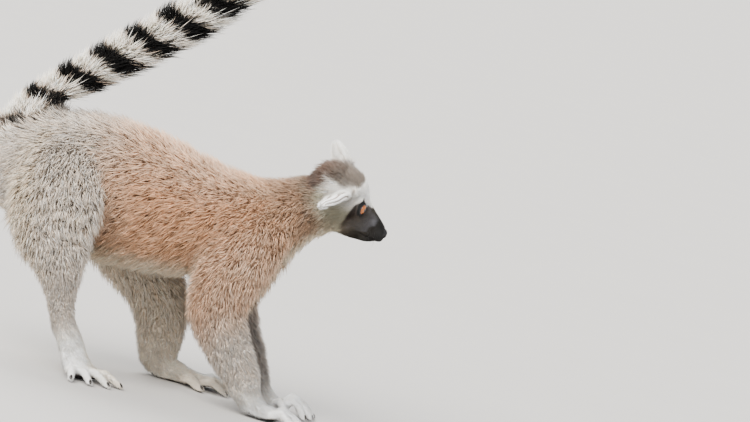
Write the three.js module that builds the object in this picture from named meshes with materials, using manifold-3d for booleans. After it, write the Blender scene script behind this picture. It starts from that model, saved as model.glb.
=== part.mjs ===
// A ring-tailed lemur, life size, standing on all fours with one hind leg drawn forward.
// Millimetres. +X is the way the animal faces, +Y is its left side, +Z is up, and the floor is z = 0.
import * as THREE from "three";
import { mergeVertices } from "three/addons/utils/BufferGeometryUtils.js";
import Module from "manifold-3d";

// ---------- driving dimensions ----------

const GAP = 0.3; // clearance between neighbouring pieces
const SWOLLEN = { grow: GAP + 0.05, clearance: 0 }; // a copy that cuts the room for a piece
const BLOCK_SIZE = 2000; // edge of the blocks that cut away what lies past a plane
const CUT_MARGIN = 0.1; // least step between outlines next to a cut, as a share of the usual one

// Head, in its own frame: x along the muzzle, z up, origin midway between the eyes.
const HEAD_PLACE = new THREE.Vector3(113, 0, 214);
const HEAD_PITCH = degrees(25); // muzzle below the horizontal
const HEAD_ROLL = degrees(14); // right eye lower than the left
const HEAD_YAW = degrees(8); // muzzle turned to the animal's left
const MUZZLE_START = 4; // where the furred face gives way to the muzzle
const MOUTH_CORNER_HEIGHT = -18;
const MOUTH_SLOPE = degrees(6);
const EYE_RADIUS = 8;
const EYE_PLACE = new THREE.Vector3(-5, 14.2, 2);
const NOSE_PLACE = new THREE.Vector3(29.5, 0, -6.5);
const NOSE_RADII = new THREE.Vector3(4.5, 6, 5);
const EAR_LENGTH = 38;
const EAR_WIDTH = 27;
const EAR_WALL = 2;
const EAR_HOLLOW_SHIFT = 4.2; // how far the hollow's middle lies in front of the ear's
const BALL_SIDES = 10; // facets of the eyes and the nose
const BALL_ROWS = 8;

// Coat colours.
const GREY = 0xb5aca3;
const RUST = 0xb28a6c;
const BEIGE = 0xc0ab98;
const BROWN = 0x8d7361;
const WHITE = 0xe6e1da;
const DARK = 0x4a4340;
const BLACK = 0x1c1a1a;
const AMBER = 0xc07a24;
const PALE_GREY = 0xcbc5bd;

function degrees(angle) {
  return THREE.MathUtils.degToRad(angle);
}

// ---------- lofts ----------

// One ring of a loft: its centre, its half width across the body and its half depth the other way.
// turn swings the width's direction about the vertical, from +Y towards -X.
function ring(x, y, z, wide, deep, turn = 0) {
  return { centre: new THREE.Vector3(x, y, z), girth: new THREE.Vector3(wide, deep, degrees(turn)) };
}

// The same ring given by the profile of a body seen from its side.
function profileRing(x, top, bottom, wide) {
  return ring(x, 0, (top + bottom) / 2, wide, (top - bottom) / 2);
}

function smooth(points) {
  return new THREE.CatmullRomCurve3(points, false, "catmullrom", 0.5);
}

// A closed body through the rings. from and to are ring numbers, whole or not, where the body is cut
// square. startCap and endCap are the lengths of the round ends, grow swells the body all over, and
// facing turns every ring one way instead of along the body.
// Outlines lie at the same places along the rings wherever the cuts are, so that the lengths of one
// body and a swollen copy of it have matching facets.
function loft(rings, options = {}) {
  const last = rings.length - 1;
  const { sides = 20, steps = 2, from = 0, to = last } = options;
  const { startCap = 0, endCap = 0, capSteps = 2, grow = 0, facing = null } = options;
  const centres = smooth(rings.map((each) => each.centre));
  const girths = smooth(rings.map((each) => each.girth));
  const outlines = [];

  function direction(u) {
    return facing ?? centres.getTangent(u / last);
  }

  function addOutline(u, shift, scale) {
    const centre = centres.getPoint(u / last);
    const along = direction(u);
    const [wide, deep, turn] = girths.getPoint(u / last).toArray();
    const across = new THREE.Vector3(-Math.sin(turn), Math.cos(turn), 0);
    across.addScaledVector(along, -across.dot(along)).normalize();
    const other = new THREE.Vector3().crossVectors(along, across);
    centre.addScaledVector(along, shift);
    outlines.push(
      Array.from({ length: sides }, (_, side) => {
        const angle = (2 * Math.PI * side) / sides;
        const point = centre.clone();
        point.addScaledVector(across, Math.cos(angle) * (wide + grow) * scale);
        return point.addScaledVector(other, Math.sin(angle) * (deep + grow) * scale);
      }),
    );
  }

  function poleOf(u, shift) {
    return centres.getPoint(u / last).addScaledVector(direction(u), shift);
  }

  const startReach = startCap > 0 ? startCap + grow : 0;
  const endReach = endCap > 0 ? endCap + grow : 0;
  for (let step = 1; startCap > 0 && step < capSteps; step += 1) {
    const angle = (Math.PI / 2) * (step / capSteps);
    addOutline(from, -startReach * Math.cos(angle), Math.sin(angle));
  }
  addOutline(from, 0, 1);
  for (let step = Math.ceil(from * steps + CUT_MARGIN); step < to * steps - CUT_MARGIN; step += 1) {
    addOutline(step / steps, 0, 1);
  }
  addOutline(to, 0, 1);
  for (let step = capSteps - 1; endCap > 0 && step > 0; step -= 1) {
    const angle = (Math.PI / 2) * (step / capSteps);
    addOutline(to, endReach * Math.cos(angle), Math.sin(angle));
  }
  return skin(outlines, poleOf(from, -startReach), poleOf(to, endReach));
}

// Joins a stack of outlines, and closes it at both ends with a fan to a pole.
function skin(outlines, startPole, endPole) {
  const sides = outlines[0].length;
  const points = [...outlines.flat(), startPole, endPole];
  const startIndex = points.length - 2;
  const endIndex = points.length - 1;
  const top = (outlines.length - 1) * sides;
  const faces = [];
  for (let side = 0; side < sides; side += 1) {
    const next = (side + 1) % sides;
    for (let row = 0; row < top; row += sides) {
      faces.push(row + side, row + next, row + sides + next);
      faces.push(row + side, row + sides + next, row + sides + side);
    }
    faces.push(startIndex, next, side);
    faces.push(endIndex, top + side, top + next);
  }
  const geometry = new THREE.BufferGeometry().setFromPoints(points);
  geometry.setIndex(faces);
  return geometry;
}

// Cuts one long loft into lengths at the given ring numbers, a gap apart unless clearance is 0.
function lengths(rings, cuts, options = {}) {
  const last = rings.length - 1;
  const centres = smooth(rings.map((each) => each.centre));
  const { startCap = 0, endCap = 0, clearance = GAP } = options;
  const ends = [0, ...cuts, last];

  function halfGap(u) {
    const span = 0.01;
    const speed = centres.getPoint((u + span) / last).distanceTo(centres.getPoint((u - span) / last));
    return (clearance * span) / speed;
  }

  return ends.slice(1).map((end, index) => {
    const start = ends[index];
    const isFirst = index === 0;
    const isLast = end === last;
    return loft(rings, {
      ...options,
      from: isFirst ? start : start + halfGap(start),
      to: isLast ? end : end - halfGap(end),
      startCap: isFirst ? startCap : 0,
      endCap: isLast ? endCap : 0,
    });
  });
}

// ---------- joins and cuts ----------

const wasm = await Module();
wasm.setup();

function toSolid(geometry) {
  const plain = geometry.clone();
  plain.deleteAttribute("normal");
  plain.deleteAttribute("uv");
  const merged = mergeVertices(plain);
  return new wasm.Manifold(
    new wasm.Mesh({
      numProp: 3,
      vertProperties: new Float32Array(merged.attributes.position.array),
      triVerts: new Uint32Array(merged.index.array),
    }),
  );
}

function toGeometry(solid) {
  const mesh = solid.getMesh();
  const geometry = new THREE.BufferGeometry();
  geometry.setAttribute("position", new THREE.BufferAttribute(mesh.vertProperties, mesh.numProp));
  geometry.setIndex(new THREE.BufferAttribute(mesh.triVerts, 1));
  return geometry;
}

function join(geometries) {
  return toGeometry(geometries.map(toSolid).reduce((whole, piece) => whole.add(piece)));
}

function cut(geometry, ...tools) {
  return toGeometry(tools.map(toSolid).reduce((rest, tool) => rest.subtract(tool), toSolid(geometry)));
}

// A block that fills everything past the plane through point, on the side that normal points to.
function beyond(point, normal) {
  const block = new THREE.BoxGeometry(BLOCK_SIZE, BLOCK_SIZE, BLOCK_SIZE);
  block.translate(0, 0, BLOCK_SIZE / 2);
  block.applyQuaternion(new THREE.Quaternion().setFromUnitVectors(new THREE.Vector3(0, 0, 1), normal));
  return block.translate(point.x, point.y, point.z);
}

function belowFloor() {
  return beyond(new THREE.Vector3(0, 0, 0), new THREE.Vector3(0, 0, -1));
}

function ellipsoid(radii, centre) {
  const shape = new THREE.SphereGeometry(1, BALL_SIDES, BALL_ROWS);
  shape.scale(radii.x, radii.y, radii.z);
  return shape.translate(centre.x, centre.y, centre.z);
}

function ball(radius) {
  return new THREE.Vector3(radius, radius, radius);
}

// ---------- the animal ----------

const lemur = new THREE.Group();

function addMesh(parent, name, geometry, colour, roughness = 0.9) {
  const material = new THREE.MeshStandardMaterial({ color: colour, roughness, metalness: 0 });
  const mesh = new THREE.Mesh(geometry, material);
  mesh.name = name;
  parent.add(mesh);
  return mesh;
}

// Trunk and neck are one loft from the rump to the back of the head.
function trunkRings() {
  return [
    profileRing(-222, 199, 128, 40),
    profileRing(-196, 222, 112, 50),
    profileRing(-165, 236, 104, 53),
    profileRing(-130, 240, 101, 54),
    profileRing(-90, 236, 100, 54),
    profileRing(-50, 227, 104, 52),
    profileRing(-12, 221, 114, 48),
    ring(23, 0, 176, 44, 46), // shoulders, tilted up towards the neck
    ring(58, 0, 199, 33, 32), // root of the neck
    ring(84, 0, 214, 28, 29), // inside the back of the head
  ];
}
const TRUNK_CUTS = [2.6, 4.7, 7.6];
const TRUNK_OPTIONS = { sides: 18, steps: 1.5, startCap: 17, endCap: 8 };

// Tail: up and forward in one long S, finished above the back.
function tailRings() {
  const path = [
    [-213, 174, 17],
    [-227, 204, 19.5],
    [-203, 240, 20],
    [-162, 279, 22],
    [-107, 329, 23.5],
    [-75, 361, 24],
    [-40, 409, 24.5],
    [-12, 460, 25],
    [-2, 514, 25],
    [-18, 566, 24.5],
    [-55, 604, 23],
    [-101, 621, 20],
  ];
  return path.map(([x, z, radius]) => ring(x, 0, z, radius, radius));
}
const TAIL_CUTS = [2.8, 5, 7, 9];
const TAIL_OPTIONS = { sides: 12, startCap: 8, endCap: 20 };

// Forelimbs: side is -1 for the right and 1 for the left, and reach shifts the limb forward.
function armRings(side, reach) {
  return [
    ring(26 + reach, side * 28, 182, 20, 34), // shoulder, inside the chest
    ring(18 + reach, side * 37, 151, 24, 37),
    ring(9 + reach, side * 41, 123, 24, 35),
    ring(2 + reach, side * 42, 99, 22, 31.5), // elbow
    ring(15 + reach, side * 42, 71, 20, 26.5),
    ring(30 + reach, side * 41, 52, 18, 22),
    ring(46 + reach, side * 39, 31, 14.5, 17.5),
    ring(57 + reach, side * 38, 16, 13, 12.5), // wrist
    ring(71 + reach, side * 38, 6.8, 12.5, 8),
    ring(82 + reach, side * 38, 5.6, 12, 6.5), // knuckles
  ];
}
const ARM_CUTS = [3.2, 7];
const ARM_OPTIONS = { sides: 12, steps: 1.5, startCap: 10, endCap: 5 };

// Right hind leg: knee turned out, heel raised, foot turned out to the side.
function rightLegRings() {
  return [
    ring(-176, -30, 196, 22, 38), // hip, inside the rump
    ring(-168, -43, 172, 29, 49),
    ring(-165, -53, 148, 30, 49),
    ring(-161, -59, 126, 28, 44),
    ring(-150, -63, 103, 24, 32), // below the knee
    ring(-143, -61, 83, 18, 20.5),
    ring(-138, -58, 64, 13, 13.5, -12),
    ring(-131, -58, 45, 12, 12, -32), // ankle
    ring(-118, -68, 27, 14.5, 9.5, -46),
    ring(-106, -81, 10, 17, 8, -50),
    ring(-100, -89, 5.4, 17, 6.5, -50), // ball of the foot
  ];
}

// Left hind leg: drawn forward under the belly, foot flat on the floor.
function leftLegRings() {
  return [
    ring(-172, 28, 188, 22, 40), // hip, inside the rump
    ring(-140, 42, 156, 27, 45),
    ring(-104, 53, 124, 27, 42),
    ring(-74, 59, 98, 25, 36), // knee
    ring(-54, 62, 73, 21, 30),
    ring(-46, 63, 49, 17, 26),
    ring(-43, 62, 28, 13.5, 21), // ankle
    ring(-38, 62, 13, 13, 17, 2),
    ring(-14, 64, 7.5, 13.5, 9.5, 4),
    ring(3, 66, 5.8, 14, 7, 4), // ball of the foot
  ];
}
const RIGHT_LEG_CUTS = [3.4, 7];
const LEFT_LEG_CUTS = [3.2, 6];
const LEG_OPTIONS = { sides: 12, steps: 1.5, startCap: 10, endCap: 5 };

// One finger or toe, arched from its root down to a pad on the floor.
function digit(root, heading, length, arch, radius) {
  const forward = new THREE.Vector3(Math.cos(heading), Math.sin(heading), 0);
  const turn = THREE.MathUtils.radToDeg(heading);
  const station = (share, height, size) => {
    const place = root.clone().addScaledVector(forward, length * share);
    return ring(place.x, place.y, height, size, size, turn);
  };
  return loft(
    [
      station(0, root.z, radius * 1.1),
      station(0.38, arch, radius),
      station(0.74, arch * 0.6, radius * 0.88),
      station(1, radius * 0.5, radius * 0.8),
    ],
    { sides: 6, steps: 1, endCap: radius * 0.8 },
  );
}

// A palm or sole with four digits fanned about its heading and an opposed first digit.
function paw(palm, plan) {
  const { place, heading, side, arch, fan, reaches, breadth, radius, thumb } = plan;
  const across = new THREE.Vector3(-Math.sin(heading), Math.cos(heading), 0);
  const digits = reaches.map((reach, index) => {
    const share = index / (reaches.length - 1) - 0.5; // from the inner digit to the outer one
    const root = place.clone().addScaledVector(across, side * share * breadth);
    return digit(root, heading + side * share * fan, reach, arch, radius);
  });
  const thumbRoot = place.clone().addScaledVector(across, -side * thumb.offset);
  thumbRoot.addScaledVector(new THREE.Vector3(Math.cos(heading), Math.sin(heading), 0), -thumb.back);
  digits.push(digit(thumbRoot, heading - side * thumb.splay, thumb.reach, arch * 0.75, thumb.radius));
  return cut(join([palm, ...digits]), belowFloor());
}

function addForelimb(name, side, reach, arch) {
  const rings = armRings(side, reach);
  const [upper, fore, palm] = lengths(rings, ARM_CUTS, ARM_OPTIONS);
  addMesh(lemur, `upper_arm_${name}`, upper, BROWN);
  addMesh(lemur, `forearm_${name}`, fore, BEIGE);
  const hand = paw(palm, {
    place: new THREE.Vector3(82 + reach, side * 38, 6),
    heading: degrees(side * 4),
    side,
    arch,
    fan: degrees(44),
    reaches: [24, 30, 32, 27],
    breadth: 18,
    radius: 4.5,
    thumb: { offset: 8, back: 9, splay: degrees(52), reach: 21, radius: 4.4 },
  });
  addMesh(lemur, `hand_${name}`, hand, WHITE);
  return lengths(rings, ARM_CUTS, { ...ARM_OPTIONS, ...SWOLLEN }).slice(0, 2);
}

function addHindLimb(name, rings, cuts, plan) {
  const [thigh, shank, sole] = lengths(rings, cuts, LEG_OPTIONS);
  addMesh(lemur, `thigh_${name}`, thigh, GREY);
  addMesh(lemur, `shank_${name}`, shank, GREY);
  addMesh(lemur, `foot_${name}`, paw(sole, plan), WHITE);
  return lengths(rings, cuts, { ...LEG_OPTIONS, ...SWOLLEN }).slice(0, 2);
}

// The head's profile, from the nape to the tip of the muzzle.
function headRings() {
  return [
    profileRing(-50, 17, -14, 20),
    profileRing(-41, 22, -28, 27),
    profileRing(-27, 25, -36, 31),
    profileRing(-15, 23, -37, 28),
    profileRing(-6, 16, -35, 22.5),
    profileRing(3, 8.8, -31.5, 16.5),
    profileRing(12, 5, -27.5, 12.5),
    profileRing(21, 2, -23.5, 10.5),
    profileRing(28, -1.2, -19, 9),
    profileRing(31.5, -4, -14, 6.5),
  ];
}

function headLoft(grow = 0) {
  const facing = new THREE.Vector3(1, 0, 0);
  return loft(headRings(), { sides: 18, startCap: 7, endCap: 2, grow, facing });
}

// An ear as a leaf from root to tip, hollowed on the side that facing points to. Each row of a leaf
// is a share of the ear's length, and the leaf's half width and half thickness there.
function ear(root, tip, facing) {
  const along = tip.clone().sub(root).normalize();
  const width = new THREE.Vector3().crossVectors(along, facing).normalize();
  const front = new THREE.Vector3().crossVectors(width, along);
  const half = EAR_WIDTH / 2;
  const outer = leaf(0, 0, [
    [0, half * 0.62, 6],
    [0.3, half, 5],
    [0.6, half * 0.92, 4.2],
    [0.87, half * 0.5, 3],
  ]);
  const hollow = leaf(-EAR_WALL, EAR_HOLLOW_SHIFT, [
    [0.08, half * 0.6, 5],
    [0.32, half * 0.95, 5.4],
    [0.6, half * 0.86, 5],
    [0.8, half * 0.42, 3.6],
  ]);
  const frame = new THREE.Matrix4().makeBasis(front, width, along).setPosition(root);
  return cut(outer, hollow).applyMatrix4(frame);
}

function leaf(grow, shift, rows) {
  const rings = rows.map(([share, wide, thick]) => ring(0, 0, EAR_LENGTH * share, wide + grow, thick + grow));
  return loft(rings, { sides: 8, steps: 1.5, startCap: 2, endCap: 5 }).translate(shift, 0, 0);
}

function addHead() {
  const head = new THREE.Group();
  head.position.copy(HEAD_PLACE);
  head.rotation.set(HEAD_ROLL, HEAD_PITCH, HEAD_YAW, "ZYX");
  head.updateMatrix();
  lemur.add(head);

  const along = new THREE.Vector3(1, 0, 0);
  const mouthUp = new THREE.Vector3(-Math.sin(MOUTH_SLOPE), 0, Math.cos(MOUTH_SLOPE));
  const division = (shift) => new THREE.Vector3(MUZZLE_START + shift, 0, 0);
  const mouth = (shift) => new THREE.Vector3(MUZZLE_START, 0, MOUTH_CORNER_HEIGHT + shift);
  const whole = headLoft();
  const eyes = [-1, 1].map((side) => {
    const place = EYE_PLACE.clone();
    place.y *= side;
    return place;
  });
  const sockets = eyes.map((place) => ellipsoid(ball(EYE_RADIUS + GAP), place));

  addMesh(head, "head", cut(whole, beyond(division(-GAP / 2), along), ...sockets), PALE_GREY);
  const front = cut(whole, beyond(division(GAP / 2), along.clone().negate()), ...sockets);
  const noseHole = ellipsoid(NOSE_RADII.clone().addScalar(GAP), NOSE_PLACE);
  const upper = cut(front, beyond(mouth(GAP / 2), mouthUp.clone().negate()), noseHole);
  addMesh(head, "muzzle", upper, DARK, 0.8);
  addMesh(head, "lower_jaw", cut(front, beyond(mouth(-GAP / 2), mouthUp), noseHole), DARK, 0.8);
  addMesh(head, "nose", ellipsoid(NOSE_RADII, NOSE_PLACE), BLACK, 0.4);
  addMesh(head, "eye_right", ellipsoid(ball(EYE_RADIUS), eyes[0]), AMBER, 0.1);
  addMesh(head, "eye_left", ellipsoid(ball(EYE_RADIUS), eyes[1]), AMBER, 0.1);

  const grownHead = headLoft(SWOLLEN.grow);
  addMesh(head, "ear_right", cut(rightEar(), grownHead), WHITE);
  addMesh(head, "ear_left", cut(leftEar(), grownHead), WHITE);
  return grownHead.clone().applyMatrix4(head.matrix);
}

// The right ear is laid back along the head, the left one stands up and leans back.
function rightEar() {
  const root = new THREE.Vector3(-25, -24, 5);
  const tip = new THREE.Vector3(-38, -50, -7);
  return ear(root, tip, new THREE.Vector3(0.8, -0.35, -0.5));
}

function leftEar() {
  const root = new THREE.Vector3(-27, 23, 8);
  const tip = new THREE.Vector3(-50, 39, 19);
  return ear(root, tip, new THREE.Vector3(0.85, 0.3, 0.4));
}

// ---------- assembly ----------

const headTool = addHead();
const limbTools = [...addForelimb("right", -1, 0, 11), ...addForelimb("left", 1, 6, 16)];
limbTools.push(
  ...addHindLimb("right", rightLegRings(), RIGHT_LEG_CUTS, {
    place: new THREE.Vector3(-100, -89, 6),
    heading: degrees(-50),
    side: -1,
    arch: 10,
    fan: degrees(62),
    reaches: [30, 32, 31, 27],
    breadth: 27,
    radius: 5.1,
    thumb: { offset: 9, back: 16, splay: degrees(62), reach: 32, radius: 5.6 },
  }),
);
limbTools.push(
  ...addHindLimb("left", leftLegRings(), LEFT_LEG_CUTS, {
    place: new THREE.Vector3(4, 66, 6),
    heading: degrees(4),
    side: 1,
    arch: 10,
    fan: degrees(46),
    reaches: [29, 32, 31, 27],
    breadth: 22,
    radius: 5.1,
    thumb: { offset: 9, back: 16, splay: degrees(55), reach: 30, radius: 5.6 },
  }),
);

const tailTools = lengths(tailRings(), TAIL_CUTS, { ...TAIL_OPTIONS, ...SWOLLEN }).slice(0, 2);
const trunkNames = ["rump", "belly", "chest", "neck"];
const trunkColours = [GREY, RUST, BROWN, DARK];
lengths(trunkRings(), TRUNK_CUTS, TRUNK_OPTIONS).forEach((piece, index) => {
  const endTools = { rump: tailTools, neck: [headTool] }[trunkNames[index]] ?? [];
  addMesh(lemur, trunkNames[index], cut(piece, ...limbTools, ...endTools), trunkColours[index]);
});

lengths(tailRings(), TAIL_CUTS, TAIL_OPTIONS).forEach((piece, index) => {
  addMesh(lemur, `tail_${index + 1}`, piece, index % 2 ? BLACK : WHITE);
});

// The origin is under the middle of the animal, on the floor.
lemur.updateMatrixWorld(true);
const middle = new THREE.Box3().setFromObject(lemur, true).getCenter(new THREE.Vector3());
lemur.position.set(-middle.x, -middle.y, 0);
lemur.updateMatrixWorld(true);

export default lemur;
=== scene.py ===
# %% [markdown]
# # A ring-tailed lemur, life size
#
# The animal stands on all fours with its banded tail raised over its back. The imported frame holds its
# outline out to the tips of the coat, one solid for each part of the body. This script puts one skin a
# little inside that outline and grows the coat on it, then adds what stays bare: eyes, nose, nails.
# Everything is in metres. +X is the way the animal faces, +Y its left side and +Z up.

import math

import bpy
import numpy as np
from mathutils import Matrix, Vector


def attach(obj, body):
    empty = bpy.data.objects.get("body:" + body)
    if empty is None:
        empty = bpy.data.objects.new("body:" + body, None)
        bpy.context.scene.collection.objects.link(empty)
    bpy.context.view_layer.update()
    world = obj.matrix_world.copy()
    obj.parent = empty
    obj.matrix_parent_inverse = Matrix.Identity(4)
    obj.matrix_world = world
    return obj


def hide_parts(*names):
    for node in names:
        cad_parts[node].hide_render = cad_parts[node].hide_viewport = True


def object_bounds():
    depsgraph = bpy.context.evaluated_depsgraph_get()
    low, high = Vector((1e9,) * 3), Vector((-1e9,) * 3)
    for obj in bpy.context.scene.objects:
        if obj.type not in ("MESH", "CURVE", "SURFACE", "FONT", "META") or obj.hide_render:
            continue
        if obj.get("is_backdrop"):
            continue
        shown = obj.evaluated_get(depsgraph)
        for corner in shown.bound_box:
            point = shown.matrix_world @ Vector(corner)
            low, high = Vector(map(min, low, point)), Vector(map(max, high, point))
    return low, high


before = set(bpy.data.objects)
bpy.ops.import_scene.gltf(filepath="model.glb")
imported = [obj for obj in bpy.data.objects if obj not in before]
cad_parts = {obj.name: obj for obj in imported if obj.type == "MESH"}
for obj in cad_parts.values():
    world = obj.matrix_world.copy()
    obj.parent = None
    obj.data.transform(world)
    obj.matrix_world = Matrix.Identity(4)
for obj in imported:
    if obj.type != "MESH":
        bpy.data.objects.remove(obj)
cad_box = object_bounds()
print("the frame has", len(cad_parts), "nodes, and its box is", cad_box)

# %% [markdown]
# ## Where the body's parts lie
#
# The frame's numbers are easiest to repeat in the animal's own drawing, in millimetres, whose origin is
# on the floor under the shoulders. One node is enough to find how far that drawing is from the frame:
# the nose is a plain ball, so the mean of its corners is its middle.

# %% From the drawing to the frame
MM = 0.001
HEAD_PLACE = np.array([113, 0, 214]) * MM
HEAD_TURN = [math.radians(angle) for angle in (14, 25, 8)]  # roll, pitch and yaw
NOSE_PLACE = np.array([29.5, 0, -6.5]) * MM  # in the head's own axes
EYE_PLACE = np.array([-6.6, 13.8, 1.8]) * MM  # the left one's middle
EYE_RADIUS = 7 * MM


def turn_about(axis, angle):
    """A rotation as a 3 by 3 array."""
    return np.array(Matrix.Rotation(angle, 3, axis))


HEAD_AXES = turn_about("Z", HEAD_TURN[2]) @ turn_about("Y", HEAD_TURN[1]) @ turn_about("X", HEAD_TURN[0])


def corners(node):
    """The places of a frame node's corners."""
    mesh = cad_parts[node].data
    places = np.empty(len(mesh.vertices) * 3)
    mesh.vertices.foreach_get("co", places)
    return places.reshape(-1, 3)


drawing_shift = corners("nose").mean(0) - (HEAD_PLACE + HEAD_AXES @ NOSE_PLACE)
drawing_shift[2] = 0
head_middle = HEAD_PLACE + drawing_shift
print("the drawing's origin is at", drawing_shift.round(4))


def from_head(points):
    """Points in the head's own axes, in metres, to the frame."""
    return np.asarray(points, float) @ HEAD_AXES.T + head_middle


def to_head(points):
    """Points in the frame to the head's own axes, in metres."""
    return (np.asarray(points, float) - head_middle) @ HEAD_AXES


# %% [markdown]
# ## Lines through the body
#
# Hair lies along the body: back from the nose, along the trunk, down the limbs and out along the tail.
# Its direction and length could be painted by hand, as in a groom, but a script does better with a few
# smooth lines. Each line runs through stations. A station has the place of the line, the body's half
# width and half depth there out to the coat's tips, and what the coat is like: how deep it stands over
# the skin, how steeply it leaves it, and how wide one tuft is. Any point of the animal can then ask
# which line it belongs to, which way its hair runs and how long it is.

# %% A line through stations
STATION_STEPS = 8  # samples between two stations


def spline(rows):
    """A smooth curve through rows of numbers, sampled evenly between them."""
    rows = np.array(rows, float)
    padded = np.vstack([2 * rows[0] - rows[1], rows, 2 * rows[-1] - rows[-2]])
    t = np.linspace(0, 1, STATION_STEPS, endpoint=False)[:, None]
    spans = []
    for a, b, c, d in zip(padded, padded[1:], padded[2:], padded[3:]):
        spans.append(b + 0.5 * t * (c - a + t * (2 * a - 5 * b + 4 * c - d + t * (3 * b - a - 3 * c + d))))
    return np.vstack(spans + [rows[-1:]])


def unit(vectors):
    """The vectors at a length of one."""
    return vectors / np.maximum(np.linalg.norm(vectors, axis=-1, keepdims=True), 1e-9)


class Line:
    """Stations hold x, y, z, half width, half depth, coat depth, slant in degrees and tuft width."""

    def __init__(self, name, stations, across=(0, 1, 0), in_head=False):
        table = spline(stations)
        table[:, [0, 1, 2, 3, 4, 5, 7]] *= MM
        self.name = name
        self.places = from_head(table[:, :3]) if in_head else table[:, :3] + drawing_shift
        self.wide, self.deep, self.coat, self.slant, self.tuft = table[:, 3:8].T
        self.along = unit(np.gradient(self.places, axis=0))
        across = HEAD_AXES @ np.array(across, float) if in_head else np.array(across, float)
        self.across = unit(across - self.along * (self.along @ across)[:, None])
        self.other = np.cross(self.along, self.across)
        steps = np.linalg.norm(np.diff(self.places, axis=0), axis=1)
        self.distance = np.concatenate([[0], np.cumsum(steps)])

    def locate(self, points):
        """For each point: its sample on the line, its gap to the outline, its angle round the line and
        its distance along it."""
        gaps = (points**2).sum(1)[:, None] - 2 * points @ self.places.T + (self.places**2).sum(1)
        near = gaps.argmin(1)
        offset = points - self.places[near]
        a = (offset * self.across[near]).sum(1) / self.wide[near]
        b = (offset * self.other[near]).sum(1) / self.deep[near]
        c = (offset * self.along[near]).sum(1) * 2 / (self.wide[near] + self.deep[near])
        girth = (self.wide[near] + self.deep[near]) / 2
        gap = (np.sqrt(a * a + b * b + c * c) - 1) * girth
        return near, gap, np.arctan2(b, a), self.distance[near] + c * girth


print("a span between two stations has", STATION_STEPS, "samples")

# %% [markdown]
# The trunk's and the tail's stations lie in the animal's middle. Each arm starts in the shoulder and ends
# at the knuckles, and each leg runs from the hip over the knee and heel to the toes. Both arms share one
# table, because they stand nearly alike. The coat is deepest on the trunk and tail and shallow on the paws.

# %% Stations of the body
TRUNK = [
    (84, 0, 214, 28, 29, 7, 50, 0.61),
    (58, 0, 199, 33, 32, 9, 50, 0.76),
    (23, 0, 176, 44, 46, 10, 50, 0.86),
    (-12, 0, 167.5, 48, 53.5, 11, 50, 0.86),
    (-50, 0, 165.5, 52, 61.5, 11, 50, 0.86),
    (-90, 0, 168, 54, 68, 12, 50, 0.86),
    (-130, 0, 170.5, 54, 69.5, 12, 50, 0.86),
    (-165, 0, 170, 53, 66, 12, 50, 0.86),
    (-196, 0, 167, 50, 55, 11, 50, 0.86),
    (-222, 0, 163.5, 40, 35.5, 10, 50, 0.86),
]
TAIL = [
    (-213, 0, 174, 17, 17, 8, 50, 0.86),
    (-227, 0, 204, 19.5, 19.5, 10, 50, 0.9),
    (-203, 0, 240, 20, 20, 11, 50, 0.9),
    (-162, 0, 279, 22, 22, 12, 50, 0.9),
    (-107, 0, 329, 23.5, 23.5, 13, 50, 0.9),
    (-75, 0, 361, 24, 24, 13.5, 50, 0.9),
    (-40, 0, 409, 24.5, 24.5, 14, 50, 0.9),
    (-12, 0, 460, 25, 25, 14.5, 50, 0.9),
    (-2, 0, 514, 25, 25, 14.5, 50, 0.9),
    (-18, 0, 566, 24.5, 24.5, 14.5, 50, 0.9),
    (-55, 0, 604, 23, 23, 14, 50, 0.9),
    (-101, 0, 621, 20, 20, 13, 50, 0.9),
]
ARM = [
    (26, 28, 182, 20, 34, 10, 50, 0.86),
    (18, 37, 151, 24, 37, 10, 50, 0.86),
    (9, 41, 123, 24, 35, 9, 50, 0.86),
    (2, 42, 99, 22, 31.5, 8, 50, 0.76),
    (15, 42, 71, 20, 26.5, 6, 40, 0.65),
    (30, 41, 52, 18, 22, 5, 38, 0.61),
    (46, 39, 31, 14.5, 17.5, 3.4, 34, 0.54),
    (57, 38, 16, 13, 12.5, 2.8, 30, 0.42),
    (71, 38, 6.8, 12.5, 8, 2.0, 25, 0.38),
    (82, 38, 5.6, 12, 6.5, 1.5, 22, 0.35),
]
ARM_REACH = {-1: 0, 1: 6}  # the left arm is further forward
RIGHT_LEG = [
    (-176, -30, 196, 22, 38, 11, 50, 0.86),
    (-168, -43, 172, 29, 49, 12, 50, 0.86),
    (-165, -53, 148, 30, 49, 12, 50, 0.86),
    (-161, -59, 126, 28, 44, 10, 50, 0.86),
    (-150, -63, 103, 24, 32, 8, 50, 0.76),
    (-143, -61, 83, 18, 20.5, 5.5, 38, 0.61),
    (-138, -58, 64, 13, 13.5, 3.4, 34, 0.54),
    (-131, -58, 45, 12, 12, 3.2, 30, 0.48),
    (-118, -68, 27, 14.5, 9.5, 2.5, 25, 0.42),
    (-106, -81, 10, 17, 8, 1.9, 22, 0.38),
    (-100, -89, 5.4, 17, 6.5, 1.5, 22, 0.35),
]
LEFT_LEG = [
    (-172, 28, 188, 22, 40, 11, 50, 0.86),
    (-140, 42, 156, 27, 45, 12, 50, 0.86),
    (-104, 53, 124, 27, 42, 11, 50, 0.86),
    (-74, 59, 98, 25, 36, 9, 50, 0.86),
    (-54, 62, 73, 21, 30, 7, 40, 0.76),
    (-46, 63, 49, 17, 26, 5, 36, 0.61),
    (-43, 62, 28, 13.5, 21, 3, 32, 0.48),
    (-38, 62, 13, 13, 17, 2.8, 28, 0.42),
    (-14, 64, 7.5, 13.5, 9.5, 2.0, 22, 0.38),
    (3, 66, 5.8, 14, 7, 1.5, 22, 0.35),
]
stations = len(TRUNK) + len(TAIL) + len(ARM) + len(RIGHT_LEG) + len(LEFT_LEG)
print("the body's lines have", stations, "stations")

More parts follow.
